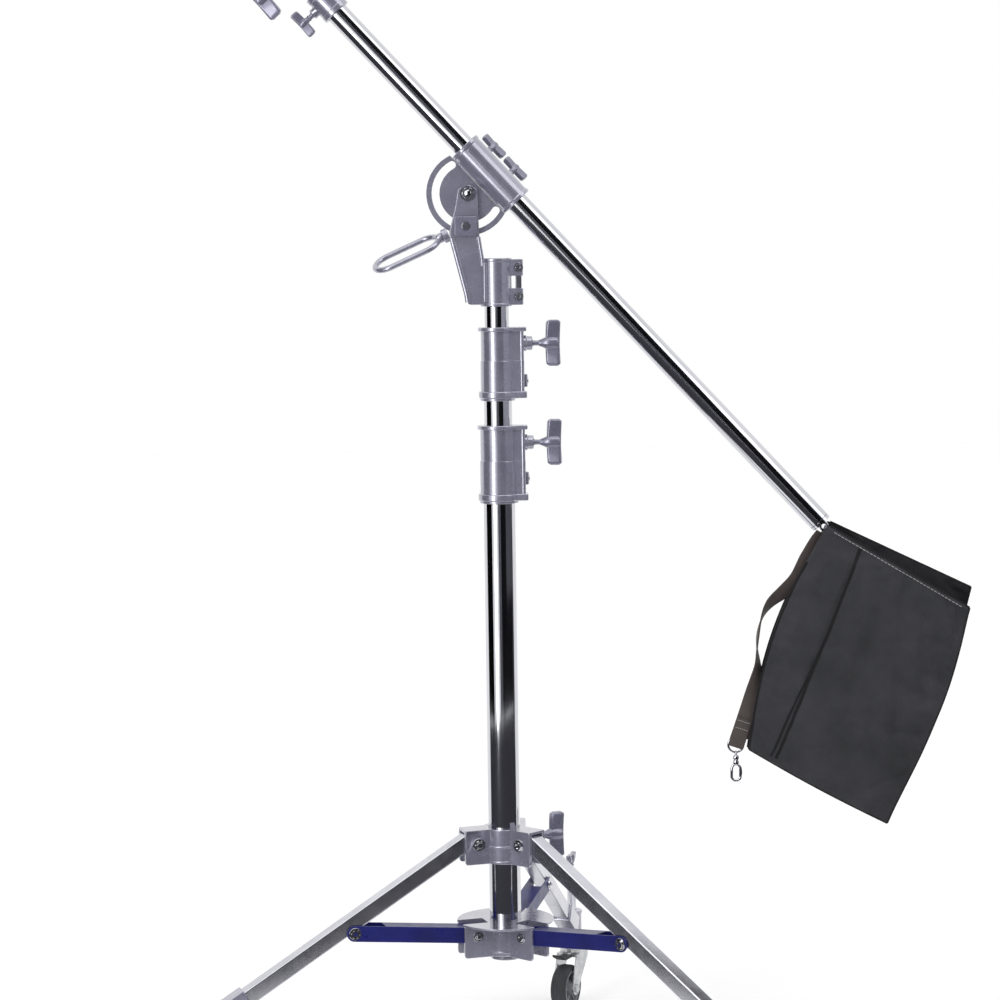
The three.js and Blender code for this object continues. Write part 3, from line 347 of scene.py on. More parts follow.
def to_object(shapes, name):
    mesh = bmesh.new()
    for points, faces in shapes:
        made = [mesh.verts.new(Vector(p)) for p in points]
        for face in faces:
            mesh.faces.new([made[i] for i in face])
    bmesh.ops.recalc_face_normals(mesh, faces=mesh.faces)
    data = bpy.data.meshes.new(name)
    mesh.to_mesh(data)
    mesh.free()
    return link(name, data)


def modify(made, kind, **settings):
    """A modifier with its settings."""
    modifier = made.modifiers.new(kind.lower(), kind)
    for key, value in settings.items():
        setattr(modifier, key, value)
    return modifier


def bake(made):
    """Applies the modifiers of an object to its mesh."""
    graph = bpy.context.evaluated_depsgraph_get()
    data = bpy.data.meshes.new_from_object(made.evaluated_get(graph))
    made.modifiers.clear()
    made.data = data


def carve(body, tools):
    """The shapes of body joined, less the tools, as one shape."""
    made = to_object([body[0]], "work")
    others = [(shape, "UNION") for shape in body[1:]] + [(shape, "DIFFERENCE") for shape in tools]
    spare = []
    for shape, operation in others:
        spare.append(to_object([shape], "tool"))
        modify(made, "BOOLEAN", operation=operation, solver="MANIFOLD", object=spare[-1])
    bake(made)
    for other in spare:
        bpy.data.objects.remove(other)
    shape = ([tuple(v.co) for v in made.data.vertices], [tuple(p.vertices) for p in made.data.polygons])
    bpy.data.objects.remove(made)
    return shape


def metres(place):
    """A frame in millimetres as the same one in metres."""
    placed = place.copy()
    placed.translation = placed.translation * 0.001
    return placed


def put(name, shapes, place, material, body, *nodes, angle=32, settle=True):
    """A finished piece on a body, from shapes in the frame of place, in place of the nodes."""
    made = to_object(shapes, name)
    made.data.transform(TO_METRES)
    if settle:
        work = bmesh.new()
        work.from_mesh(made.data)
        bmesh.ops.remove_doubles(work, verts=work.verts, dist=1e-6)
        bmesh.ops.dissolve_limit(work, angle_limit=rad(0.5), verts=work.verts, edges=work.edges)
        work.to_mesh(made.data)
        work.free()
    made.data.shade_smooth()
    made.data.set_sharp_from_angle(angle=rad(angle))
    modify(made, "WEIGHTED_NORMAL", keep_sharp=True)
    made.data.materials.append(material)
    made.matrix_world = metres(place)
    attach(made, body)
    if nodes:
        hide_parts(*nodes)


# Materials

EDGE_WEAR = 0.0012


def shade(colour):
    """A colour as seen, 0 to 255, as the linear one that the shader takes."""
    return tuple(((c / 255 + 0.055) / 1.055) ** 2.4 if c > 10 else c / 255 / 12.92 for c in colour) + (1,)


def add(tree, kind, settings=(), **inputs):
    """A shader node. Inputs are named, or numbered as i0, i1, and so on."""
    made = tree.nodes.new("ShaderNode" + kind)
    for key, value in settings:
        setattr(made, key, value)
    for key, value in inputs.items():
        numbered = key[0] == "i" and key[1:].isdigit()
        socket = made.inputs[int(key[1:]) if numbered else key.replace("_", " ")]
        if isinstance(value, bpy.types.NodeSocket):
            tree.links.new(value, socket)
        else:
            socket.default_value = value
    return made


def new_material(name, **shader_values):
    made = bpy.data.materials.new(name)
    made.use_nodes = True
    tree = made.node_tree
    shader = tree.nodes["Principled BSDF"]
    for key, value in shader_values.items():
        shader.inputs[key.replace("_", " ")].default_value = value
    return made, tree, shader


def ramp(tree, factor, dark, light):
    """A colour ramp between two (position, colour) stops."""
    made = add(tree, "ValToRGB", Fac=factor)
    for element, (position, colour) in zip(made.color_ramp.elements, (dark, light)):
        element.position = position
        element.color = colour
    return made.outputs["Color"]


def spread(tree, value, low, high, start=0.3, end=0.7):
    """A value's range from start to end, spread over low to high."""
    made = add(tree, "MapRange", Value=value, From_Min=start, From_Max=end, To_Min=low, To_Max=high)
    return made.outputs["Result"]


def noise(tree, scale, detail, roughness=0.55, stretch=(1, 1, 1)):
    place = add(tree, "TexCoord").outputs["Object"]
    mapped = add(tree, "Mapping", Vector=place, Scale=stretch).outputs["Vector"]
    made = add(tree, "TexNoise", Vector=mapped, Scale=scale, Detail=detail, Roughness=roughness)
    return made.outputs["Fac"]


def edge_mask(tree, radius):
    """1 on worn outer edges and 0 on faces, from the rounded normal against the true one."""
    rounded_normal = add(tree, "Bevel", [("samples", 4)], Radius=radius).outputs["Normal"]
    true_normal = add(tree, "NewGeometry").outputs["Normal"]
    dot = add(tree, "VectorMath", [("operation", "DOT_PRODUCT")], i0=rounded_normal, i1=true_normal)
    return spread(tree, dot.outputs["Value"], 0, 1, 0.985, 0.9)


def combine(tree, a, b, operation="MULTIPLY"):
    """Two values put together by a Math node."""
    return add(tree, "Math", [("operation", operation)], i0=a, i1=b).outputs[0]


def metal(name, dark, light, metallic, rough, grain, relief, stretch=(1, 1, 1), wear=None, patch=18, **more):
    """Painted or plated metal: clouded colour, smudged gloss, fine grain, and lighter worn edges."""
    made, tree, shader = new_material(name, Metallic=metallic, **more)
    cloud = noise(tree, patch, 5, 0.6, stretch)
    colour = ramp(tree, cloud, (0.35, shade(dark)), (0.65, shade(light)))
    if wear:
        mask = combine(tree, edge_mask(tree, EDGE_WEAR), spread(tree, noise(tree, 300, 3), 0.2, 1, 0.35, 0.6))
        mixed = add(tree, "Mix", [("data_type", "RGBA")], i0=mask, i6=colour, i7=shade(wear))
        colour = mixed.outputs[2]
    tree.links.new(colour, shader.inputs["Base Color"])
    smudge = noise(tree, patch * 2.5, 6, 0.65, stretch)
    tree.links.new(spread(tree, smudge, *rough), shader.inputs["Roughness"])
    bump = add(tree, "Bump", Height=noise(tree, grain, 2, 0.5, stretch), Distance=relief, Strength=1.0)
    tree.links.new(bump.outputs["Normal"], shader.inputs["Normal"])
    return made


def wave(tree, period, direction):
    """Threads across one direction, a period apart."""
    place = add(tree, "TexCoord").outputs["Object"]
    settings = [("wave_type", "BANDS"), ("bands_direction", direction)]
    scale = 2 * PI / (20 * period)
    made = add(tree, "TexWave", settings, Vector=place, Scale=scale, Distortion=0.4, Detail=1.0)
    return made.outputs["Fac"]


def cloth(name, dark, light, period, sheen, ribs=None):
    """Woven cloth: warp and weft threads, clouded colour and a soft sheen."""
    gloss = {"Sheen_Weight": sheen, "Sheen_Roughness": 0.45, "Specular_IOR_Level": 0.35}
    made, tree, shader = new_material(name, **gloss)
    weave = combine(tree, wave(tree, period, "X"), wave(tree, ribs or period, "Z"), "ADD")
    cloud = noise(tree, 11, 6, 0.62)
    fade = combine(tree, spread(tree, cloud, 0.0, 0.75), spread(tree, weave, 0.0, 0.25, 0.2, 1.8), "ADD")
    colour = ramp(tree, fade, (0.05, shade(dark)), (0.95, shade(light)))
    tree.links.new(colour, shader.inputs["Base Color"])
    tree.links.new(spread(tree, cloud, 0.62, 0.82), shader.inputs["Roughness"])
    first = add(tree, "Bump", Height=noise(tree, 90, 4, 0.6), Distance=0.0006, Strength=0.8)
    normal = first.outputs["Normal"]
    second = add(tree, "Bump", Height=weave, Distance=0.00018, Strength=0.9, Normal=normal)
    tree.links.new(second.outputs["Normal"], shader.inputs["Normal"])
    return made


CHROME = metal(
    "chrome", (200, 201, 207), (216, 216, 221), 1.0, (0.05, 0.08), 900, 0.000001,
    stretch=(1, 1, 0.12), patch=30,
)
CASTING = metal(
    "satin_casting", (138, 137, 156), (152, 151, 170), 0.5, (0.22, 0.3), 1400, 0.00003,
    wear=(200, 200, 210), Coat_Weight=1.0, Coat_Roughness=0.15, Coat_IOR=2.2,
)
KNOB = metal(
    "knob_casting", (114, 113, 133), (128, 127, 147), 0.4, (0.24, 0.32), 1400, 0.00003,
    wear=(180, 180, 192), Coat_Weight=0.6, Coat_Roughness=0.1, Coat_IOR=1.8,
)
PLATED = metal(
    "plated_steel", (198, 198, 206), (212, 212, 219), 1.0, (0.2, 0.27), 900, 0.000012, wear=(230, 230, 233)
)
ZINC = metal(
    "bright_zinc", (176, 178, 182), (206, 207, 208), 0.95, (0.2, 0.38), 700, 0.00004,
    wear=(225, 225, 226), patch=60,
)
BLUE = metal(
    "blue_paint", (18, 22, 84), (26, 30, 104), 0.0, (0.26, 0.4), 500, 0.00006,
    wear=(90, 94, 150), Specular_IOR_Level=0.35,
)
PEDAL = metal("pedal_plastic", (22, 22, 25), (34, 34, 37), 0.0, (0.42, 0.6), 1800, 0.00012, wear=(70, 70, 74))
TYRE = metal("tyre_rubber", (40, 41, 44), (58, 59, 63), 0.0, (0.6, 0.8), 1500, 0.00015, wear=(92, 93, 97))
CORE = metal(
    "wheel_plastic", (120, 122, 128), (138, 140, 146), 0.0, (0.4, 0.55), 1200, 0.00008, wear=(160, 161, 166)
)
NYLON = cloth("bag_nylon", (33, 34, 38), (60, 60, 65), 0.0011, 0.1)
# Near-black cloth for the inner sheets of the pouches: painted shade for the dark gap between them.
INNER_SHADE_CLOTH = cloth("bag_inner_painted_shade", (14, 14, 17), (24, 24, 28), 0.0012, 0.0)
WEBBING = cloth("webbing", (52, 46, 44), (82, 74, 71), 0.0024, 0.12, ribs=0.0013)
THREAD = cloth("thread", (140, 139, 142), (182, 181, 184), 0.0006, 0.2)
# Black cloth for the bound edges and seams, and for the left cord, which is painted shade.
BINDING_AND_SHADE_CLOTH = cloth("bag_binding_and_painted_shade", (12, 12, 15), (24, 24, 27), 0.0012, 0.04)


# Column and boom tubes

BASE_RADIUS = 25
RISER_RADII = (22, 19)
BOOM_RADIUS = 17.5
EXTENSION_RADIUS = 15


def tubes():
    along = at(BOOM, turn=(0, PI / 2, 0))
    for name, radius, inner, low, high, place, body in (
        ("base_tube", BASE_RADIUS, 22.4, 4.3, 796, FOOT, "stand"),
        ("riser_1", RISER_RADII[0], 19.4, 63, 947, FOOT, "riser_one"),
        ("riser_2", RISER_RADII[1], 17, 108, 1103.7, FOOT, "riser_two"),
        ("boom_tube", BOOM_RADIUS, 15.4, -372, 749, along, "boom"),
        ("boom_extension", EXTENSION_RADIUS, 13, -424, 270, along, "extension"),
    ):
        put(name + "_skin", [pipe(radius, inner, low, high)], place, CHROME, body, name)


# Knobs

KNOB_OUT = 55.3
KNOB_HOLE = 4.4
KNOB_TURN = (AZIMUTH["right"] + AZIMUTH["back"]) / 2
HUB_KNOB_UP = 36
LOWER_COLLAR_UP, LOWER_KNOB_UP = 729.6, 90.4
UPPER_COLLAR_UP, UPPER_KNOB_UP = 890, 85
SLEEVE_KNOBS = {"front": -26, "rear": 22}
SLEEVE_KNOB_TURN = rad(50)
COLLAR_KNOB_X = -364
SMALL = 0.62


def wing(share):
    """The cross bar of a T-knob along Z, waisted and twisted a little, with its ends rounded."""
    start, thick = 20 * share, 24 * share
    rings = []
    for k in range(-16, 17):
        t = k / 16
        flare = abs(t) ** 1.6
        low = start + 1.6 * share * flare
        high = start + thick - 1.4 * share * (1 - flare)
        end = max(0.0, (abs(t) - 0.86) / 0.14)
        squeeze = math.sqrt(max(0.03, 1 - end * end))
        half = (high - low) / 2 * (0.55 + 0.45 * squeeze)
        deep = (6.5 - 0.9 * math.cos(PI * t) * share) * share * (0.45 + 0.55 * squeeze)
        twist = Matrix.Rotation(rad(9) * math.sin(PI / 2 * t), 4, "Z")
        section = rounded((-half, half), (-deep, deep), min(half, deep) * 0.55, 4)
        ring = moved(([(x, y, 0) for x, y in section], []), twist)
        rings.append(shift(ring, (low + high) / 2, 0, 36 * share * t)[0])
    return loft(rings)


def t_knob(stem, share):
    """A T-knob along X, from its screw's end at -stem to its cross bar."""
    neck, cone = 11 * share, 20 * share
    profile = [(0, neck - 1.2), (4.6, neck - 1.2), (5.2, neck), (6.4 * share, neck + 3.6 * share)]
    profile += [(9.6 * share, cone + 1), (10.6 * share, cone + 7 * share)]
    profile += [(10.2 * share, cone + 18 * share), (8.6 * share, cone + 20.4 * share)]
    profile += [(6 * share, cone + 19.6 * share), (0, cone + 19.4 * share)]
    shaft = bar(4, -stem, neck + 1, 0.4, 32)
    washer = pipe(4.9, 3.6, -0.1, 1.6, 0.3, 32)
    return [lay_x(shaft), lay_x(turned(profile, 48)), wing(share), lay_x(washer)]


def knobs():
    hub = at(FOOT, (0, 0, LEG_HUB_UP + HUB_KNOB_UP), (0, 0, KNOB_TURN))
    places = [
        ("hub_knob", 30, 1, at(hub, (KNOB_OUT, 0, 0))),
        ("lower_knob", 33, 1, at(FOOT, (KNOB_OUT, 0, LOWER_COLLAR_UP + LOWER_KNOB_UP))),
        ("upper_knob", 36, 1, at(FOOT, (KNOB_OUT, 0, UPPER_COLLAR_UP + UPPER_KNOB_UP))),
    ]
    for side, x in SLEEVE_KNOBS.items():
        face = (x, math.sin(SLEEVE_KNOB_TURN) * 34.3, math.cos(SLEEVE_KNOB_TURN) * 34.3)
        place = at(BOOM, face, (-SLEEVE_KNOB_TURN, -PI / 2, 0))
        places.append(("sleeve_knob_" + side, 16.5, SMALL, place))
    places += [
        ("boom_collar_knob", 15, SMALL, at(BOOM, (COLLAR_KNOB_X, 0, -30.3), (0, PI / 2, 0))),
        ("levelling_knob", 0, SMALL, at(radial("back"), (REACH, 0, 245.3), (0, -PI / 2, 0))),
        ("head_knob", 61, 1, at(BOOM, (-436, 0, -38.3), (0, PI / 2, 0))),
    ]
    for name, stem, share, place in places:
        put(name + "_skin", t_knob(stem, share), place, KNOB, name + "_turns", name)


# Casters


def mirrored(profile):
    """A profile of (radius, z) given for z below 0, with its mirror image above."""
    return profile + [(r, -z) for r, z in reversed(profile)]


def tyre():
    side = [(31.2, -13.6), (33.4, -14), (36.4, -13.2), (38.6, -11), (39.7, -8), (40, -5.4), (40, -2.6)]
    return turned(mirrored(side + [(39.3, -2.2)]), 96, True)


def wheel():
    rim = turned([(26.8, -6)] + mirrored([(27.6, -13), (30.4, -13), (31, -12)]) + [(26.8, 6)], 96, True)
    disc = turned(mirrored([(8, -4.3), (27, -4.3)]), 64, True)
    hub = turned(mirrored([(4.5, -16), (10.6, -16), (12, -14.6), (12.6, -4)]), 64, True)
    rib = block((11, 28), (-1.3, 1.3), (-9.5, 9.5), 0.5)
    return [rim, disc, hub] + [moved(rib, Matrix.Rotation(k * PI / 3, 4, "Z")) for k in range(6)]


def casters():
    trail, wheel_radius, bearing = 30, 40, rad(245)
    for side, azimuth in AZIMUTH.items():
        swivel = at(radial(side), (REACH, 0, 0), (0, 0, bearing - azimuth))
        axle = at(swivel, (trail, 0, wheel_radius), (PI / 2, 0, 0))
        put("tyre_" + side, [tyre()], axle, TYRE, "wheel_" + side, "caster_tyre_" + side)
        put("wheel_core_" + side, wheel(), axle, CORE, "wheel_" + side, "caster_wheel_" + side)


# Collars, hubs, legs and feet

LEG_PIN_OUT, LEG_PIN_UP = 48, 400
BRACE_PIN_OUT, BRACE_PIN_UP = 52, 254
BRACE_LENGTH = 200
LEG_LINE_UP = 126.26
SLOPE = math.atan2(LEG_PIN_UP - LEG_LINE_UP, REACH - LEG_PIN_OUT)
LEG_END = (REACH - 35.7 - LEG_PIN_OUT - 11 * math.sin(SLOPE)) / math.cos(SLOPE)
PIN_GAP = (LEG_PIN_UP - BRACE_PIN_UP) * math.cos(SLOPE) - (BRACE_PIN_OUT - LEG_PIN_OUT) * math.sin(SLOPE)
BRACE_RISE = math.asin((PIN_GAP - 2.6) / BRACE_LENGTH) - SLOPE


def nose_plan(radius, nose, half):
    """A round barrel with a flat nose toward +X, seen from above."""
    turn = math.degrees(math.asin(half / radius))
    return soften([(nose, -half), (nose, half)] + arc(0, 0, radius, turn, 360 - turn, 48), 3.5, (0, 1))


def knob_boss(start, radius, shoulder, z=0):
    """A boss along X that carries a T-knob, with a narrower neck beyond its shoulder."""
    profile = [(0, start), (radius, start), (radius, shoulder[0]), (11, shoulder[1])]
    profile += [(11, KNOB_OUT - 1.5), (9.8, KNOB_OUT - 0.3), (0, KNOB_OUT - 0.3)]
    return shift(lay_x(turned(profile, 48)), 0, 0, z)


def knob_bore(z=0):
    """The hole of a knob's screw along X."""
    return shift(lay_x(drill(KNOB_HOLE, 0, 60, 40)), 0, 0, z)


def collar(name, body, bottom, height, step, knob_at, screw, below, above):
    """A collar that holds the tube of radius above in the one of radius below."""
    barrel = below + 3.5
    middle = height * 0.53
    lip = nose_plan(barrel + 4.3, 45.8, 17.3)
    whole = [
        slab(nose_plan(barrel + 1.0, 42, 13.6), (5, middle), 1.2),
        slab(nose_plan(barrel, 41.2, 12.8), (middle - 2, height - 3), 0.5),
        slab(lip, (height - 6.6, height), 1.5, 3),
        slab(lip, (0, 10.6), 1.8, 3),
        bar(below + 5.4, -4, 2, 0.8, 72),
        knob_boss(above + 4, 12.5, (45, 46.5), knob_at),
        block((38, 46.8), (-8, 8), (screw - 10, screw + 10), 1.2, 3),
    ]
    whole += [shift(bar(3.4, 8, height - 4, 0.6, 32), 38.2, y) for y in (-10.6, 10.6)]
    tools = [drill(below + 0.3, -12, step + 0.3, 96), drill(above + 0.4, step - 1, height + 5, 96)]
    tools += [knob_bore(knob_at), shift(lay_x(drill(5.6, 44.6, 60, 40)), 0, 0, screw)]
    place = at(FOOT, (0, 0, bottom))
    put(name + "_skin", [carve(whole, tools)], place, CASTING, body, name)
    cap = shift(lay_x(bolt_head(5.2, 44.7, 48.2, False, 2.6)), 0, 0, screw)
    put(name + "_screw", [cap], place, CHROME, body, angle=40)


def add_ears(whole, tools, reach, span, half, thick, slot, hole, roof=()):
    """Adds three pairs of ears. Slot is where their gap starts, with its heights; hole is radius, x and z."""
    ear = soften([(0, span[0]), (reach, span[0]), (reach, span[1]), (0, span[1])], 5, (1, 2))
    outer = half + thick
    for azimuth in AZIMUTH.values():
        spin = Matrix.Rotation(azimuth, 4, "Z")
        whole += [moved(plate(ear, y, 1.1), spin) for y in ((half, outer), (-outer, -half))]
        whole += [moved(shape, spin) for shape in roof]
        tools.append(moved(box_tool((slot[0], 90), (-half, half), slot[1:]), spin))
        tools.append(moved(bore(hole[0], 30, 32, *hole[1:]), spin))


def hubs():
    low, high = 7.5, 62
    whole = [bar(34, low, high, 1.4, 96), bar(77, high - 3, high, 0.9, 128)]
    whole += [bar(35, low + 5, low + 9, 1.2, 96), bar(35.4, high - 9, high - 3, 1.4, 96)]
    tools = [drill(BASE_RADIUS + 0.3, low - 5, high + 5, 96)]
    slot = (34, low - 5, high + 5)
    hole = (4.3, BRACE_PIN_OUT, BRACE_PIN_UP - BASE_UP)
    add_ears(whole, tools, 74, (low, high - 2), 15.9, 5, slot, hole)
    put("lower_hub_skin", [carve(whole, tools)], FOOT, CASTING, "stand", "lower_hub")

    whole = [bar(35, 0, 55, 1.4, 96), bar(36.2, 25, 29, 1.2, 96), bar(35.8, 0, 5, 1.4, 96)]
    tools = [drill(BASE_RADIUS + 0.4, -5, 60, 96)]
    roof = block((0, 70), (-18.9, 18.9), (50.9, 55), 1.1, 3)
    hole = (5.3, LEG_PIN_OUT, LEG_PIN_UP - BASE_UP - LEG_HUB_UP)
    add_ears(whole, tools, 70, (0, 55), 12.9, 6, (35, -5, 51), hole, [roof])
    knob_side = Matrix.Translation((0, 0, HUB_KNOB_UP)) @ Matrix.Rotation(KNOB_TURN, 4, "Z")
    whole.append(moved(knob_boss(26, 13, (44, 46)), knob_side))
    tools.append(moved(knob_bore(), knob_side))
    place = at(FOOT, (0, 0, LEG_HUB_UP))
    put("leg_hub_skin", [carve(whole, tools)], place, CASTING, "leg_collar", "leg_hub")


def legs():
    lean = Matrix.Translation((LEG_PIN_OUT, 0, LEG_PIN_UP)) @ Matrix.Rotation(SLOPE, 4, "Y")
    half, under, over, wall, gap = 12.5, -1.5, 23.5, 3.3, 0.3
    tube = lay_x(slab(rounded((-over, -under), (-half, half), 2.6, 4), (4, LEG_END), 0.4, 1))
    eye = lay_y(bar(11, -half, half, 0.8, 48))
    leg = carve([tube, eye], [bore(5.3, 20, 32)])
    ends = []
    for turn in (FRONT, BACK):
        ends.append(shift(moved(bolt_head(7.4, 15.4, 20.2, socket=3.2), turn), BRACE_LENGTH))
        ends.append(shift(moved(pipe(9.6, 7, 15.3, 16.7, 0.4, 48), turn), BRACE_LENGTH))
    across, tall = (-half - wall, half + wall), (under - wall, over + wall)
    socket = block((LEG_END - 50, LEG_END + 25), across, tall, 2.2, 3)
    cavity = box_tool((LEG_END - 60, LEG_END + gap), (-half - gap, half + gap), (under - gap, over + gap))
    floor = 106.3
    for side in AZIMUTH:
        along = radial(side) @ lean
        put("leg_skin_" + side, [leg], along, PLATED, "leg_" + side, "leg_tube_" + side)
        pin = at(radial(side), (LEG_PIN_OUT, 0, LEG_PIN_UP))
        put("leg_pin_" + side, cross_bolt(18.9, 8, 5, 5, 3.8), pin, CHROME, "leg_collar", "leg_bolt_" + side)
        pin = at(radial(side), (BRACE_PIN_OUT, 0, BRACE_PIN_UP))
        put("brace_pin_" + side, cross_bolt(20.9, 6, 4, 4, 3), pin, CHROME, "stand", "brace_bolt_" + side)
        arm = at(pin, turn=(0, -BRACE_RISE, 0))
        put("brace_end_" + side, ends, arm, CHROME, "brace_arm_" + side, angle=40)
        top, hole, node = 152, 6.4, "leg_foot_" + side
        if side == "back":
            top, hole, node = 172, 8.4, "levelling_socket"
        boss = [(0, floor), (15.8, floor), (17, floor + 1.2), (17, top - 5), (18.4, top - 4.4)]
        boss += [(18.4, top - 1.2), (17.2, top), (0, top)]
        whole = [moved(socket, lean), shift(turned(boss, 64), REACH)]
        tools = [moved(cavity, lean), box_tool((300, 700), (-100, 100), (40, floor - 0.1))]
        tools.append(shift(drill(hole, 90, 200, 48), REACH))
        put("foot_skin_" + side, [carve(whole, tools)], radial(side), CASTING, "leg_" + side, node)


# Pivot head

LOCK_REACH, LOCK_BEARING = 50.5, rad(265.5)
LOCK = (
    PIVOT[0] + LOCK_REACH * math.cos(LOCK_BEARING),
    0,
    PIVOT[2] + LOCK_REACH * math.sin(LOCK_BEARING),
)
LOOP_BEARING = rad(204.1)
YOKE_HALF = 14.7
SOCKET_LOW, SOCKET_HIGH = 1033, 1108
CLAMP_SCREWS = (1048, 1093)
ARM = [
    (-15.3, 9), (-20, -20), (-30.6, -61.6), (-5, -153.6), (-3, -172.6), (41.7, -172.6), (41.7, -104.6),
    (22, -104.6), (16.3, -62), (14.7, 9),
]


def on_loop(distance):
    """A place on the loop handle's axis."""
    return Vector(LOCK) + distance * Vector((math.cos(LOOP_BEARING), 0, math.sin(LOOP_BEARING)))


def yoke():
    arm = [(x + PIVOT[0], z + PIVOT[2]) for x, z in ARM]
    whole = [plate(soften(arm, 6), (-YOKE_HALF, YOKE_HALF), 1.5, 3)]
    whole.append(bar(24, SOCKET_LOW, SOCKET_HIGH, 1.4, 96))
    whole += [bar(25.2, SOCKET_HIGH - 6, SOCKET_HIGH, 1.6, 96), bar(25, SOCKET_LOW, SOCKET_LOW + 5, 1.6, 96)]
    whole += [block((0, 42), (-10, 10), (z - 13, z + 13), 1.3, 4) for z in CLAMP_SCREWS]
    boss = turned([(0, 0), (12, 0), (12, 8.6), (10.8, 9.8), (0, 9.8)], 48)
    whole.append(between(boss, on_loop(30.2), on_loop(50)))
    left = [(-67.6, 1140), (-64.5, 1128), (-48.6, 1064), (-45.6, 1052), (-44, 1040)]
    right = [(-26.4, 1141), (-24, 1124), (-21.6, 1109), (-20.6, 1096)]
    for sign in (-1, 1):
        for line, width, high in ((left, 4.4, 3.2), (right, 3.0, 2.4)):
            section = [(a * width, b * high) for a, b in circle(1, 16)]
            whole.append(sweep([(x, sign * (YOKE_HALF + 0.2), z) for x, z in line], section, side=(1, 0, 0)))
        whole.append(shift(bar(2.6, 1040, 1101, 1.2, 24), -17.5, sign * 17.2))
    mouth, stop, gap = SOCKET_LOW - 13, SOCKET_HIGH - 4, 4.9
    tools = [
        box_tool((-120, -23), (-gap, gap), (1130, 1300)),
        drill(RISER_RADII[1] + 0.4, mouth, stop, 96),
        bore(66, gap, 128, PIVOT[0], PIVOT[2]),
        box_tool((19, 50), (-1, 1), (mouth, stop)),
        bore(7.3, 20, 48, PIVOT[0], PIVOT[2]),
        bore(5.8, 20, 32, LOCK[0], LOCK[2]),
        between(drill(5.4, 0, 60, 32), on_loop(0), on_loop(50)),
    ]
    tools += [bore(3.3, 20, 24, 35, z) for z in CLAMP_SCREWS]
    put("yoke_skin", [carve(whole, tools)], FOOT, CASTING, "head", "head_yoke")


def head_bolts():
    pad = plate(rounded((-18, 18), (-15, 15), 3.5, 4), (-22, -15), 1.6, 3)
    lock = [carve([pad], [lay_y(drill(7.4, -30, -16.5, 48))]), moved(bolt_head(10.5, 15, 23), BACK)]
    put("lock_skin", lock, at(FOOT, LOCK), KNOB, "head", "lock_block", angle=40)
    screw = [moved(bolt_head(7, 15, 21.6, False, 4.6), FRONT), lay_y(drill(5.4, -15.6, 16, 32))]
    put("lock_screw", screw, at(FOOT, LOCK), CHROME, "head", angle=40)
    pivot = cross_bolt(YOKE_HALF, 9.6, 8, 7, washer=2.6)
    pivot.append(moved(turned([(0, 22.3), (5.4, 22.3), (5, 23.6), (3, 24.6), (0, 24.9)], 32), FRONT))
    put("pivot_bolt_skin", pivot, at(FOOT, PIVOT), CHROME, "head", "pivot_bolt", angle=40)
    screw = [
        moved(bolt_head(5.6, 11.4, 14.6, socket=2.6), FRONT),
        moved(pipe(7.2, 3, 10.3, 11.5, 0.3, 40), FRONT),
        moved(bolt_head(5.4, 14.2, 17.6), BACK),
        lay_y(drill(3, -11.5, 14.5, 24)),
    ]
    clamp = [block((30, 40), (10.3, 14.3), (CLAMP_SCREWS[0] - 6, CLAMP_SCREWS[1] + 6), 0.8, 2)]
    clamp += [shift(shape, 35, 0, z) for z in CLAMP_SCREWS for shape in screw]
    put("clamp_skin", clamp, FOOT, CHROME, "head", "socket_clamp", angle=40)


def loop_handle():
    handle = at(FOOT, LOCK, (0, -LOOP_BEARING, 0)) @ Matrix.Rotation(rad(68), 4, "X")
    turn, start, length = 24.2, 48, 107.4
    outer = [(x, 0, z) for x, z in arc(start + length - turn, 0, turn, -90, 90, 24)]
    inner = [(x, 0, z) for x, z in arc(start + turn, 0, turn, 90, 270, 24)]
    side = [start + turn + (length - 2 * turn) * k / 8 for k in range(1, 8)]
    path = outer + [(x, 0, turn) for x in reversed(side)] + inner + [(x, 0, -turn) for x in side]
    loop = [sweep(path, [(a * 4.6, b * 4.8) for a, b in circle(1, 16)], closed=True, side=(0, 1, 0))]
    loop.append(lay_x(bar(5, 30, 49, 0.6, 40)))
    loop.append(lay_x(turned([(0, 40.3), (7.2, 40.3), (8, 41.2), (8, 47), (6.4, 50.4), (0, 52)], 48)))
    put("loop_skin", loop, handle, CASTING, "handle", "loop_handle", angle=50)


def add_boss(whole, tools, profile, base, way):
    """Adds a knob's boss, and its hole, from a base along a way."""
    whole.append(between(turned(profile, 48), base, base + way))
    tools.append(between(drill(KNOB_HOLE, 0, 40, 32), base, base + way))


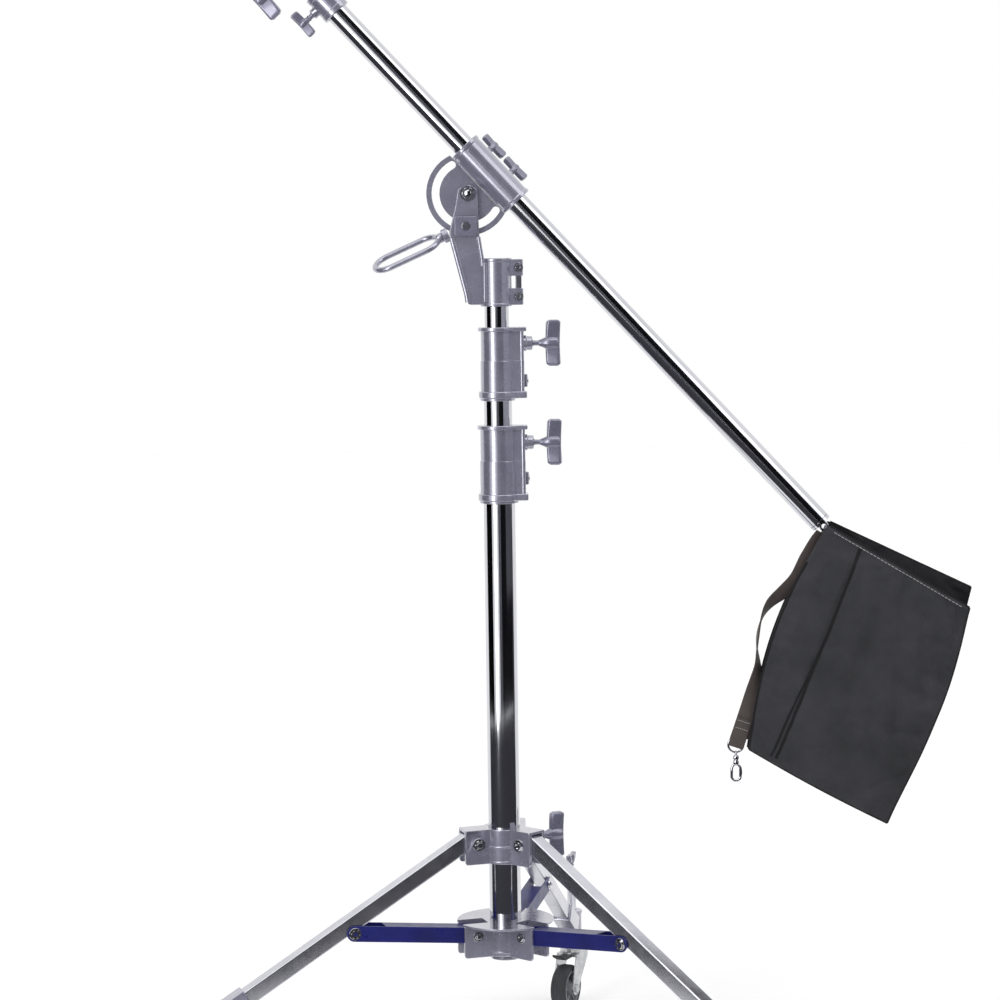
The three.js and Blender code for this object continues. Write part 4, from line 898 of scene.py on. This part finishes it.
def boom_fittings():
    outer = [(0, -57), (25.3, -57), (26.5, -55.8), (26.5, -52), (25.6, -50.8), (25, -50)]
    outer += [(25, 55), (25.6, 55.8), (26.5, 57), (26.5, 60.8), (25.3, 62), (0, 62)]
    whole = [lay_x(turned(outer, 128))]
    whole += [block((-48, 53), y, (-2.1, 2.1), 0.9, 1) for y in ((-26.1, -23), (23, 26.1))]
    tools = [lay_x(drill(BOOM_RADIUS + 0.4, -70, 70, 96)), box_tool((-80, 80), (-60, 60), (-60, -25))]
    way = Vector((0, math.sin(SLEEVE_KNOB_TURN), math.cos(SLEEVE_KNOB_TURN)))
    profile = [(0, 19), (10.4, 19), (8.6, 27), (8, 28.4), (8, 33), (7, 34), (0, 34)]
    for x in SLEEVE_KNOBS.values():
        add_boss(whole, tools, profile, Vector((x, 0, 0)), way)
    put("sleeve_skin", [carve(whole, tools)], BOOM, CASTING, "boom_pivot", "boom_sleeve")

    outer = [(0, -385), (21.8, -385), (23.3, -383.4), (23.3, -377), (22.6, -376), (22.6, -349), (23.3, -348)]
    whole = [lay_x(turned(outer + [(23.3, -341.6), (21.8, -340), (0, -340)], 96))]
    tools = [lay_x(drill(BOOM_RADIUS + 0.3, -372.3, -300, 96))]
    tools.append(lay_x(drill(EXTENSION_RADIUS + 0.4, -400, -370, 96)))
    profile = [(0, 16), (9.6, 16), (8, 25), (8, 29), (7, 30), (0, 30)]
    add_boss(whole, tools, profile, Vector((COLLAR_KNOB_X, 0, 0)), Vector((0, 0, -1)))
    put("boom_collar_skin", [carve(whole, tools)], BOOM, CASTING, "boom", "boom_collar")


# Sandbag

LEAN, FALL = rad(19.5), rad(28.8)
WIDE = Vector((math.cos(FALL), 0, -math.sin(FALL)))
DOWN = Vector((-math.sin(LEAN), 0, -math.cos(LEAN)))
OUT = Vector((-math.cos(LEAN), 0, math.sin(LEAN)))
CORNER = (5.3, 2.9)
BAG_WIDTH, BAG_HEIGHT = 256, 376
STRAP_HALF, STRAP_TOP_HALF = 12.5, 8
STRAP_OUT = 21


def on_bag(wide, down, y=0.0):
    """A place in the bag's frame: along its top edge, down its left edge, and back."""
    return Vector((CORNER[0], y, CORNER[1])) + WIDE * wide + DOWN * down


def by_strap(down, out, y=0.0):
    """A place beside the bag's left edge, down it and out from it."""
    return on_bag(0, down, y) + OUT * out


def pouch_middle(share):
    """How far a pouch's middle stands off the bag's middle, at a share of the width."""
    return 10 + 13 * share


def sew(name, shapes, material, *nodes, angle=60):
    """A piece of the bag, left as it is drawn."""
    put(name, shapes, BAG, material, "bag", *nodes, angle=angle, settle=False)


def strap_path():
    """The webbing's middle line, and how far each point of it is turned from edge-on to face-on."""
    line = [
        (15, 6, 0.6), (32, 10, 0.6), (62, 13, 0.75), (96, 17, 0.8), (122, 29, 0.7), (146, 43, 0.45),
        (170, 48, 0.15), (196, 46, 0.0), (220, 40, 0.05), (243, 31, 0.25), (266, 25, 0.6), (296, 22.5, 0.9),
        (330, 21.5, 1.0), (374, 21, 1.0),
    ]
    places = spline([by_strap(down, out) for down, out, _ in line], 6)
    turns = spline([(turn, 0, 0) for _, _, turn in line], 6)
    return places, [t.x * PI / 2 for t in turns]


RIGHT_EDGE = ([0, 0.15, 0.37, 0.65, 0.84, 1], [254, 262, 267, 261, 252, 245])
TOPS = {-1: lambda u: 0.5 + 10 * u, 1: lambda u: -5 - 13 * u}
COLUMNS, ROWS = 56, 80
FILL_ROUGH, FILL_REST = 15, 8
CLOTH = {
    "quality": 6, "mass": 0.3, "tension_stiffness": 25, "compression_stiffness": 25, "shear_stiffness": 8,
    "bending_stiffness": 0.35, "shrink_min": -0.035, "vertex_group_mass": "rim", "use_pressure": True,
    "uniform_pressure_force": 4,
}
FRAMES = 24
MOST_SWELL = 0.022


def pouch_place(u, v, side, lift=0.0):
    """A place on a pouch's sheet at shares across and down, lifted from the pouch's middle."""
    right = sum(np.interp(min(1, max(0, v + d)), *RIGHT_EDGE) for d in (-0.08, -0.04, 0, 0.04, 0.08)) / 5
    left = -23 * math.sin(PI * v**1.05)
    top = TOPS[side](u)
    sag = 3.0 * math.sin(PI * u) * v
    down = top + (BAG_HEIGHT + sag - top) * v
    return on_bag(left + (right - left) * u, down, side * pouch_middle(u) + lift)


def pouch(name, side):
    """One pouch of the saddle bag: two sheets of cloth joined at the rim, filled out by the sand."""
    line = COLUMNS + 1
    count = line * (ROWS + 1)
    fill = FILL_REST
    points, faces, rim = [], [], []
    for face in (-1, 1):
        for j in range(ROWS + 1):
            for i in range(line):
                u, v = i / COLUMNS, j / ROWS
                full = (1 - abs(2 * u - 1) ** 3.2) * (1 - abs(2 * v - 1) ** 4) * (0.72 + 0.4 * v)
                if i in (0, COLUMNS) or j in (0, ROWS):
                    rim.append(len(points))
                points.append(pouch_place(u, v, side, face * (0.8 + fill * full)))
    for first in (0, count):
        for j in range(ROWS):
            for i in range(COLUMNS):
                a = first + j * line + i
                b, c, d = a + 1, a + line + 1, a + line
                faces.append((a, d, c, b) if first else (a, b, c, d))
    border = list(range(COLUMNS)) + [j * line + COLUMNS for j in range(ROWS)]
    border += [ROWS * line + i for i in range(COLUMNS, 0, -1)] + [j * line for j in range(ROWS, 0, -1)]
    faces += [(b, a, a + count, b + count) for a, b in zip(border, border[1:] + border[:1])]
    made = to_object([(points, faces)], name)
    made.data.transform(TO_METRES)
    made.vertex_groups.new(name="rim").add(rim, 1.0, "REPLACE")
    blow_up(made, side)
    return made


def places_of(made):
    return np.array([tuple(v.co) for v in made.data.vertices])


def set_places(made, points):
    made.data.vertices.foreach_set("co", points.ravel())
    made.data.update()


def blow_up(made, side):
    """Swells a pouch under pressure, with its rim pinned, and keeps it within its room."""
    rest = places_of(made)
    modifier = modify(made, "CLOTH")
    for key, value in CLOTH.items():
        setattr(modifier.settings, key, value)
    modifier.settings.effector_weights.gravity = 0
    modifier.collision_settings.use_collision = False
    modifier.point_cache.frame_end = FRAMES
    for step in range(1, FRAMES + 1):
        bpy.context.scene.frame_set(step)
    bake(made)
    bpy.context.scene.frame_set(1)
    made.vertex_groups.clear()
    move = places_of(made) - rest
    reach = np.linalg.norm(move, axis=1)
    move *= np.minimum(1, MOST_SWELL / np.maximum(reach, 1e-9))[:, None]
    now = rest + move
    wide, down, depth = bag_units(now)
    middle = side * pouch_middle(np.clip(wide / BAG_WIDTH, 0, 1))
    room = 13.5 + 3.5 * np.clip(down / BAG_HEIGHT, 0, 1)
    now[:, 1] = (middle + room * np.tanh((depth - middle) / room)) / 1000
    set_places(made, now)


def bag_units(points):
    """Wide, down and depth of points in metres in the bag's frame, in millimetres."""
    basis = np.array([[WIDE.x, DOWN.x], [WIDE.z, DOWN.z]])
    wide, down = np.linalg.solve(basis, (points[:, [0, 2]] * 1000 - np.array(CORNER)).T)
    return wide, down, points[:, 1] * 1000


def dent(wide, down, line, width):
    """How near points lie to a line on the panel: 1 on it, falling to 0."""
    nearest = np.full(len(wide), 1e9)
    for (a, b), (c, d) in zip(line, line[1:]):
        ux, uy = c - a, d - b
        t = np.clip(((wide - a) * ux + (down - b) * uy) / (ux * ux + uy * uy), 0, 1)
        nearest = np.minimum(nearest, np.hypot(wide - a - ux * t, down - b - uy * t))
    return np.exp(-((nearest / width) ** 2))


# Seams and creases as lines of (wide, down). A crease also has its width and its depth.

SEAM = [(61, 8), (58, 90), (54, 190), (49, 290), (45, 368)]
SECOND_SEAM = [(54, 165), (47, 230), (40, 300), (36, 368)]
CREASES = [
    ([(216, 18), (230, 36), (244, 58), (252, 84)], 4.5, 4.6),
    ([(150, 40), (170, 110), (196, 190), (214, 260)], 12, 3.6),
    ([(196, 60), (212, 120), (236, 176)], 9, 3.4),
    ([(96, 90), (108, 180), (104, 270)], 16, -2.6),
    ([(20, 60), (14, 160), (10, 260)], 8, 2.2),
    ([(150, 236), (196, 284), (238, 300)], 9, 2.8),
    ([(80, 330), (140, 345), (200, 340)], 9, 2.2),
    ([(70, 20), (84, 60), (90, 120)], 8, 1.8),
    ([(120, 20), (128, 70), (120, 120)], 9, 1.8),
]


def sculpt(made, side):
    """Seams, channels and creases on the outer face of a pouch."""
    points = places_of(made)
    wide, down, depth = bag_units(points)
    middle = side * pouch_middle(np.clip(wide / BAG_WIDTH, 0, 1))
    sheet = np.where(np.arange(len(points)) < len(points) // 2, -1, 1)
    thinnest, hem = 0.7, 16
    offset = np.maximum((depth - middle) * sheet, thinnest)
    outer = np.where(sheet == side, np.clip(offset / 6, 0, 1), 0)
    edge = np.minimum.reduce([wide + 12, BAG_WIDTH + 8 - wide, down + 2, BAG_HEIGHT + 4 - down])
    inside = np.clip(edge / hem, 0, 1)
    push = -4.6 * dent(wide, down, SEAM, 3.4)
    push -= 2.6 * dent(wide, down, SECOND_SEAM, 3.2) * np.clip((down - 140) / 60, 0, 1)
    push += 1.6 * dent(wide, down, [(u - 10, v) for u, v in SEAM], 5)
    for line, width, deep in CREASES:
        push -= deep * dent(wide, down, line, width)
    waves = np.sin(wide * 0.045 + down * 0.021) * np.sin(down * 0.033 - wide * 0.017 + 1.3)
    push += 0.9 * waves * inside
    shaped = np.maximum(offset + outer * inside * push, np.minimum(offset, 2.5))
    points[:, 1] = (middle + sheet * shaped) / 1000
    set_places(made, points)


def finish_pouch(made, side):
    """Nylon on the outer sheet and the rim, near-black cloth on the inner sheet as painted shade for the gap
    between the pouches, and a finer mesh.
    """
    made.data.materials.append(NYLON)
    made.data.materials.append(INNER_SHADE_CLOTH)
    # The inner sheet gets the near-black cloth, painted shade between the pouches.
    inner = 1 if side < 0 else 0
    for polygon in made.data.polygons:
        if polygon.index // (COLUMNS * ROWS) == inner:
            polygon.material_index = 1
    modify(made, "SUBSURF", levels=1, render_levels=1)
    bake(made)
    made.data.shade_smooth()


def laid(made, line, side, pieces):
    """Points on the outer face of a pouch under a line of panel places, with the distance walked."""
    sheet = made.data
    tree = BVHTree.FromPolygons([v.co for v in sheet.vertices], [tuple(p.vertices) for p in sheet.polygons])
    path = spline([(u, v, 0) for u, v in line], pieces)
    found, walked = [], 0.0
    for last, point in zip(path[:1] + path, path):
        walked += (point - last).length
        place = tree.ray_cast(on_bag(point.x, point.y, side * 80) * 0.001, Vector((0, -side, 0)))[0]
        if place is not None:
            found.append((walked, place * 1000))
    return found


def stitches(name, made, line, side, pitch, length, width, lift):
    """A row of thread stitches along a line on the outer face of a pouch."""
    found = laid(made, line, side, 60)
    walked = [w for w, _ in found]
    shapes = []
    for k in range(int(walked[-1] // pitch)):
        ends = []
        for part, rise in ((0.0, -0.3), (0.25, 0.25), (0.75, 0.25), (1.0, -0.3)):
            d = walked[0] + k * pitch + part * length
            spot = Vector([float(np.interp(d, walked, [p[axis] for _, p in found])) for axis in range(3)])
            ends.append(spot + Vector((0, side * (lift + rise * width), 0)))
        shapes.append(sweep(ends, circle(width / 2, 6)))
    sew(name, shapes, THREAD)


def welt(name, made, line, side, width, high, sink):
    """A narrow folded strip along a line on the outer face of a pouch."""
    path = [point - Vector((0, side * (sink * high - 0.2), 0)) for _, point in laid(made, line, side, 14)]
    section = rounded((-width / 2, width / 2), (-high / 2, high / 2), min(width, high) * 0.4, 2)
    sew(name, [sweep(path, section, side=WIDE)], BINDING_AND_SHADE_CLOTH, angle=50)


def rim_cord(name, side, start, end, radius):
    """A dark cord along part of a pouch's rim, from one (u, v) place of its sheet to another. On the top,
    side and foot it is the bound edge; the thicker one down the left edge is painted shade for the gap beside
    the strap.
    """
    path = []
    for k in range(61):
        u, v = (a + (b - a) * k / 60 for a, b in zip(start, end))
        path.append(pouch_place(u, v, side))
    section = [(a * 0.8, b * 1.25) for a, b in circle(radius, 10)]
    sew(name, [sweep(path, section, side=(0, 1, 0))], BINDING_AND_SHADE_CLOTH)


def strap():
    path, turns = strap_path()
    rings = []
    for i, point in enumerate(path):
        way = (path[min(i + 1, len(path) - 1)] - path[max(i - 1, 0)]).normalized()
        flat = way.cross(Vector((0, 1, 0))).normalized()
        across = Vector((0, 1, 0)) * math.cos(turns[i]) + flat * math.sin(turns[i])
        normal = way.cross(across)
        half = STRAP_TOP_HALF + (STRAP_HALF - STRAP_TOP_HALF) * min(1, i / 12)
        section = rounded((-half, half), (-1.3, 1.3), 0.7, 2)
        rings.append([tuple(point + across * a + normal * b) for a, b in section])
    fold = []
    for x, y in arc(0, 0, 3.4, -90, 90, 8):
        fold.append(by_strap(376.5 + x, STRAP_OUT, -3.4 - y))
    for down, lift in ((368, 0.6), (356, 2.6), (344, 3.4), (334, 3.7)):
        fold.append(by_strap(down, STRAP_OUT, -6.6 + lift))
    folded = sweep(fold, rounded((-STRAP_HALF, STRAP_HALF), (-1.2, 1.2), 0.7, 2), side=OUT)
    sew("strap_band", [loft(rings), folded], WEBBING, "strap", angle=50)
    rows = []
    for down in (338, 350):
        for k in range(6):
            spot = by_strap(down, STRAP_OUT - 9.5 + k * 3.5, -4.6)
            thread = [spot, spot + Vector((0, -0.5, 0)) + OUT * 1.1, spot + OUT * 2.4]
            rows.append(sweep(thread, circle(0.45, 6)))
    sew("strap_stitches", rows, THREAD)
    tab = [by_strap(352, x, -1.4 + y) for x, y in ((10.5, 0), (4, 0), (-4, -1), (-13, -3.5))]
    sew("strap_foot", [sweep(tab, rounded((-11, 11), (-1.1, 1.1), 0.6, 2), side=DOWN)], WEBBING, angle=50)


def torus(radius, thick, around, sides):
    """A ring about Z."""
    return turned([(radius + x, z) for x, z in circle(thick, around)], sides, True)


def snap_hook():
    """A ring in the strap's fold, a swivel that runs on it, and a long sprung loop."""
    eye = BAG @ Matrix.Translation(by_strap(377.2, STRAP_OUT))
    body = [(0, -32), (3.6, -32), (5, -30.6), (5, -26.4), (3.9, -25.4), (3.9, -23.6), (5, -22.6)]
    body += [(5, -18.8), (3.6, -17), (2.4, -15.6), (0, -15.4)]
    path = [(x, 0, z) for x, z in arc(0, -50.6, 6.9, 180, 360, 14)]
    path += [(6.9, 0, -44 + k * 2.4) for k in range(4)]
    path += [(5.2, 0, -34.2), (2.6, 0, -31.6), (-1.2, 0, -31.2), (-5.2, 0, -33.6), (-6.9, 0, -38)]
    gate = [(6.9, 0, -52), (8.1, 0, -46), (7.9, 0, -40), (6.3, 0, -35)]
    shapes = [
        lay_y(torus(12, 1.9, 12, 48)),
        shift(lay_x(torus(3.4, 1.5, 10, 32)), 0, 0, -13.6),
        turned(body, 32),
        sweep(path + [(-6.9, 0, -44)], circle(2.4, 14), closed=True, side=(0, 1, 0)),
        sweep(spline(gate, 4), circle(1.9, 10), side=(0, 1, 0)),
    ]
    put("snap_hook_skin", shapes, eye, CHROME, "hook", "snap_hook", angle=60, settle=False)


def bag():
    for side, word in ((-1, "front"), (1, "rear")):
        made = pouch("bag_" + word, side)
        sculpt(made, side)
        finish_pouch(made, side)
        rim_cord("bag_edge_top_" + word, side, (0.02, 0), (1, 0), 1.5)
        rim_cord("bag_edge_side_" + word, side, (1, 0), (1, 1), 1.3)
        rim_cord("bag_edge_foot_" + word, side, (1, 1), (0, 1), 1.3)
        # A thicker black cord down the left edge: painted shade for the gap between the strap and the bag.
        rim_cord("bag_left_painted_shade_cord_" + word, side, (0, 0.18), (0, 1), 1.9)
        welt("bag_seam_" + word, made, SEAM, side, 6.4, 2.8, 0.3)
        welt("bag_second_seam_" + word, made, SECOND_SEAM, side, 4.4, 2.0, 0.35)
        hem = [(wide, TOPS[side](u) + 5) for wide, u in ((14, 0.06), (130, 0.5), (246, 0.96))]
        stitches("stitch_top_" + word, made, hem, side, 6.4, 4.3, 1.4, 0.5)
        made.matrix_world = metres(BAG)
        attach(made, "bag")
        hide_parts("sandbag")
    to_middle = Vector((1, pouch_middle(0), 0))
    spine = [pouch_place(0, k / 40, -1) + to_middle for k in range(1, 41)]
    section = rounded((-10.5, 10.5), (-1.1, 1.1), 1.0, 3)
    sew("bag_spine", [sweep(spine, section, side=(0, 1, 0))], NYLON, angle=50)
    strap()
    snap_hook()


# Nodes that keep their own mesh get rounded edges and a better finish

KEEP_LOOK = {
    "foot_cap": CASTING, "tilt_plate": CASTING, "head_body": CASTING, "head_disc": CASTING,
    "levelling_stem": CHROME, "end_hook": CHROME,
}
for side in AZIMUTH:
    KEEP_LOOK["brace_" + side] = BLUE
    KEEP_LOOK["caster_fork_" + side] = ZINC
    KEEP_LOOK["brake_pedal_" + side] = PEDAL


def smooth_group():
    """Shades smooth across every edge that turns by less than 30 degrees."""
    group = bpy.data.node_groups.new("smooth_faces", "GeometryNodeTree")
    for way in ("INPUT", "OUTPUT"):
        group.interface.new_socket("Geometry", in_out=way, socket_type="NodeSocketGeometry")
    kinds = ("NodeGroupInput", "GeometryNodeSetShadeSmooth", "GeometryNodeSetShadeSmooth", "NodeGroupOutput")
    chain = [group.nodes.new(kind) for kind in kinds]
    for before, after in zip(chain, chain[1:]):
        group.links.new(before.outputs[0], after.inputs[0])
    angle = group.nodes.new("GeometryNodeInputMeshEdgeAngle")
    below = group.nodes.new("FunctionNodeCompare")
    below.operation = "LESS_THAN"
    below.inputs[1].default_value = rad(30)
    chain[2].domain = "EDGE"
    group.links.new(angle.outputs[0], below.inputs[0])
    group.links.new(below.outputs[0], chain[2].inputs["Shade Smooth"])
    return group


def dress_nodes():
    group = smooth_group()
    for name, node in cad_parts.items():
        if node.hide_render or name not in KEEP_LOOK:
            continue
        modify(node, "WELD", merge_threshold=1e-5)
        modify(node, "DECIMATE", decimate_type="DISSOLVE", angle_limit=rad(0.6))
        modify(node, "BEVEL", width=0.0008, segments=2, limit_method="ANGLE", angle_limit=rad(35))
        modify(node, "NODES", node_group=group)
        modify(node, "WEIGHTED_NORMAL", keep_sharp=True)
        node.data.materials.clear()
        node.data.materials.append(KEEP_LOOK[name])


# Studio

BACKDROP = 3.6
MAST_MIDDLE = Vector((0, 0, 1.75))
ROUND_RIGHT = (42, 60, 80, 102)
# Dark and grey cards that only reflections show: name, azimuths, brightness, lower and upper edge
FLAGS = [
    ("left", (-106, -92, -78, -58), 0.004, 0.02, 4.6), ("middle", (-13, -4, 5), 0.16, 0.02, 4.6),
    ("right", (5, 24, 42), 0.012, 0.02, 5.2), ("right_low", ROUND_RIGHT, 0.012, 0.02, 0.35),
    ("right_mid", ROUND_RIGHT, 0.12, 0.35, 0.8), ("right_high", ROUND_RIGHT, 0.5, 0.8, 2.3),
]


def around(azimuth, distance, z=0.0):
    """A place round the stand. Azimuth is in degrees from the camera's side, positive to its right."""
    return Vector((distance * math.sin(rad(azimuth)), -distance * math.cos(rad(azimuth)), z))


def backdrop_glow(tree, low, high):
    """High where the camera, a reflection or glass sees the backdrop, and low as light."""
    rays = add(tree, "LightPath").outputs
    direct = combine(tree, rays["Is Camera Ray"], rays["Is Glossy Ray"], "MAXIMUM")
    seen = combine(tree, direct, rays["Is Transmission Ray"], "MAXIMUM")
    return add(tree, "MapRange", Value=seen, To_Min=low, To_Max=high).outputs["Result"]


def stage_sheet(name, points, faces, material):
    mesh = bpy.data.meshes.new(name)
    mesh.from_pydata(points, [], faces)
    mesh.materials.append(material)
    sheet = link(name, mesh)
    return sheet


def flag(name, lower, upper, colour):
    """A card between two rows of points, seen in reflections alone."""
    made, _, shader = new_material(name, Roughness=1.0, Specular_IOR_Level=0.0)
    shader.inputs["Base Color"].default_value = (*colour, 1)
    size = len(lower)
    faces = [(i, i + 1, size + i + 1, size + i) for i in range(size - 1)]
    card = stage_sheet(name, lower + upper, faces, made)
    card.visible_camera = False
    card.visible_diffuse = False
    card.visible_shadow = False


def lamp(name, kind, energy, **settings):
    data = bpy.data.lights.new(name, kind)
    data.energy = energy
    for key, value in settings.items():
        setattr(data, key, value)
    return link(name, data)


def studio():
    world = bpy.data.worlds.new("studio")
    bpy.context.scene.world = world
    world.use_nodes = True
    tree = world.node_tree
    background = tree.nodes["Background"]
    background.inputs["Color"].default_value = (1, 1, 1, 1)
    tree.links.new(backdrop_glow(tree, 0.55, 1.0), background.inputs["Strength"])

    paper, tree, shader = new_material("floor_paper", Roughness=0.9, Specular_IOR_Level=0.1)
    shader.inputs["Base Color"].default_value = (0.86, 0.86, 0.86, 1)
    shader.inputs["Emission Color"].default_value = (1, 1, 1, 1)
    tree.links.new(backdrop_glow(tree, 0.0, 0.24), shader.inputs["Emission Strength"])
    size = 14
    corners = [(-size, -size, 0), (size, -size, 0), (size, size, 0), (-size, size, 0)]
    stage_sheet("floor", corners, [(0, 1, 2, 3)], paper)

    for name, turn, energy in (("fill", (48, 0, 38), 0.75), ("top", (12, 0, 0), 0.55)):
        lamp(name, "SUN", energy, angle=rad(60)).rotation_euler = [rad(a) for a in turn]
    place = around(-34, 3.3)
    turn = place.to_track_quat("Z", "Y").to_matrix().to_4x4()
    strip = lamp("strip", "AREA", 42, shape="RECTANGLE", size=0.9, size_y=3.4)
    strip.matrix_world = Matrix.Translation(place + MAST_MIDDLE) @ turn

    turns = [-104 + 206 * k / 24 for k in range(25)]
    rows = [[around(a, distance, 0.004) for a in turns] for distance in (0.75, BACKDROP)]
    flag("flag_floor", *rows, (0.05, 0.05, 0.058))
    for name, turns, level, low, high in FLAGS:
        rows = [[around(a, BACKDROP, z) for a in turns] for z in (low, high)]
        flag("flag_" + name, *rows, (level, level, level * 1.15))


aim_camera()
studio()
tubes()
knobs()
casters()
collar("lower_collar", "stand", LOWER_COLLAR_UP, 118, 66.4, LOWER_KNOB_UP, 34.4, BASE_RADIUS, RISER_RADII[0])
collar("upper_collar", "riser_one", UPPER_COLLAR_UP, 110.7, 57, UPPER_KNOB_UP, 27, *RISER_RADII)
hubs()
legs()
yoke()
head_bolts()
loop_handle()
boom_fittings()
bag()
dress_nodes()

bpy.context.scene.view_settings.view_transform = "Standard"
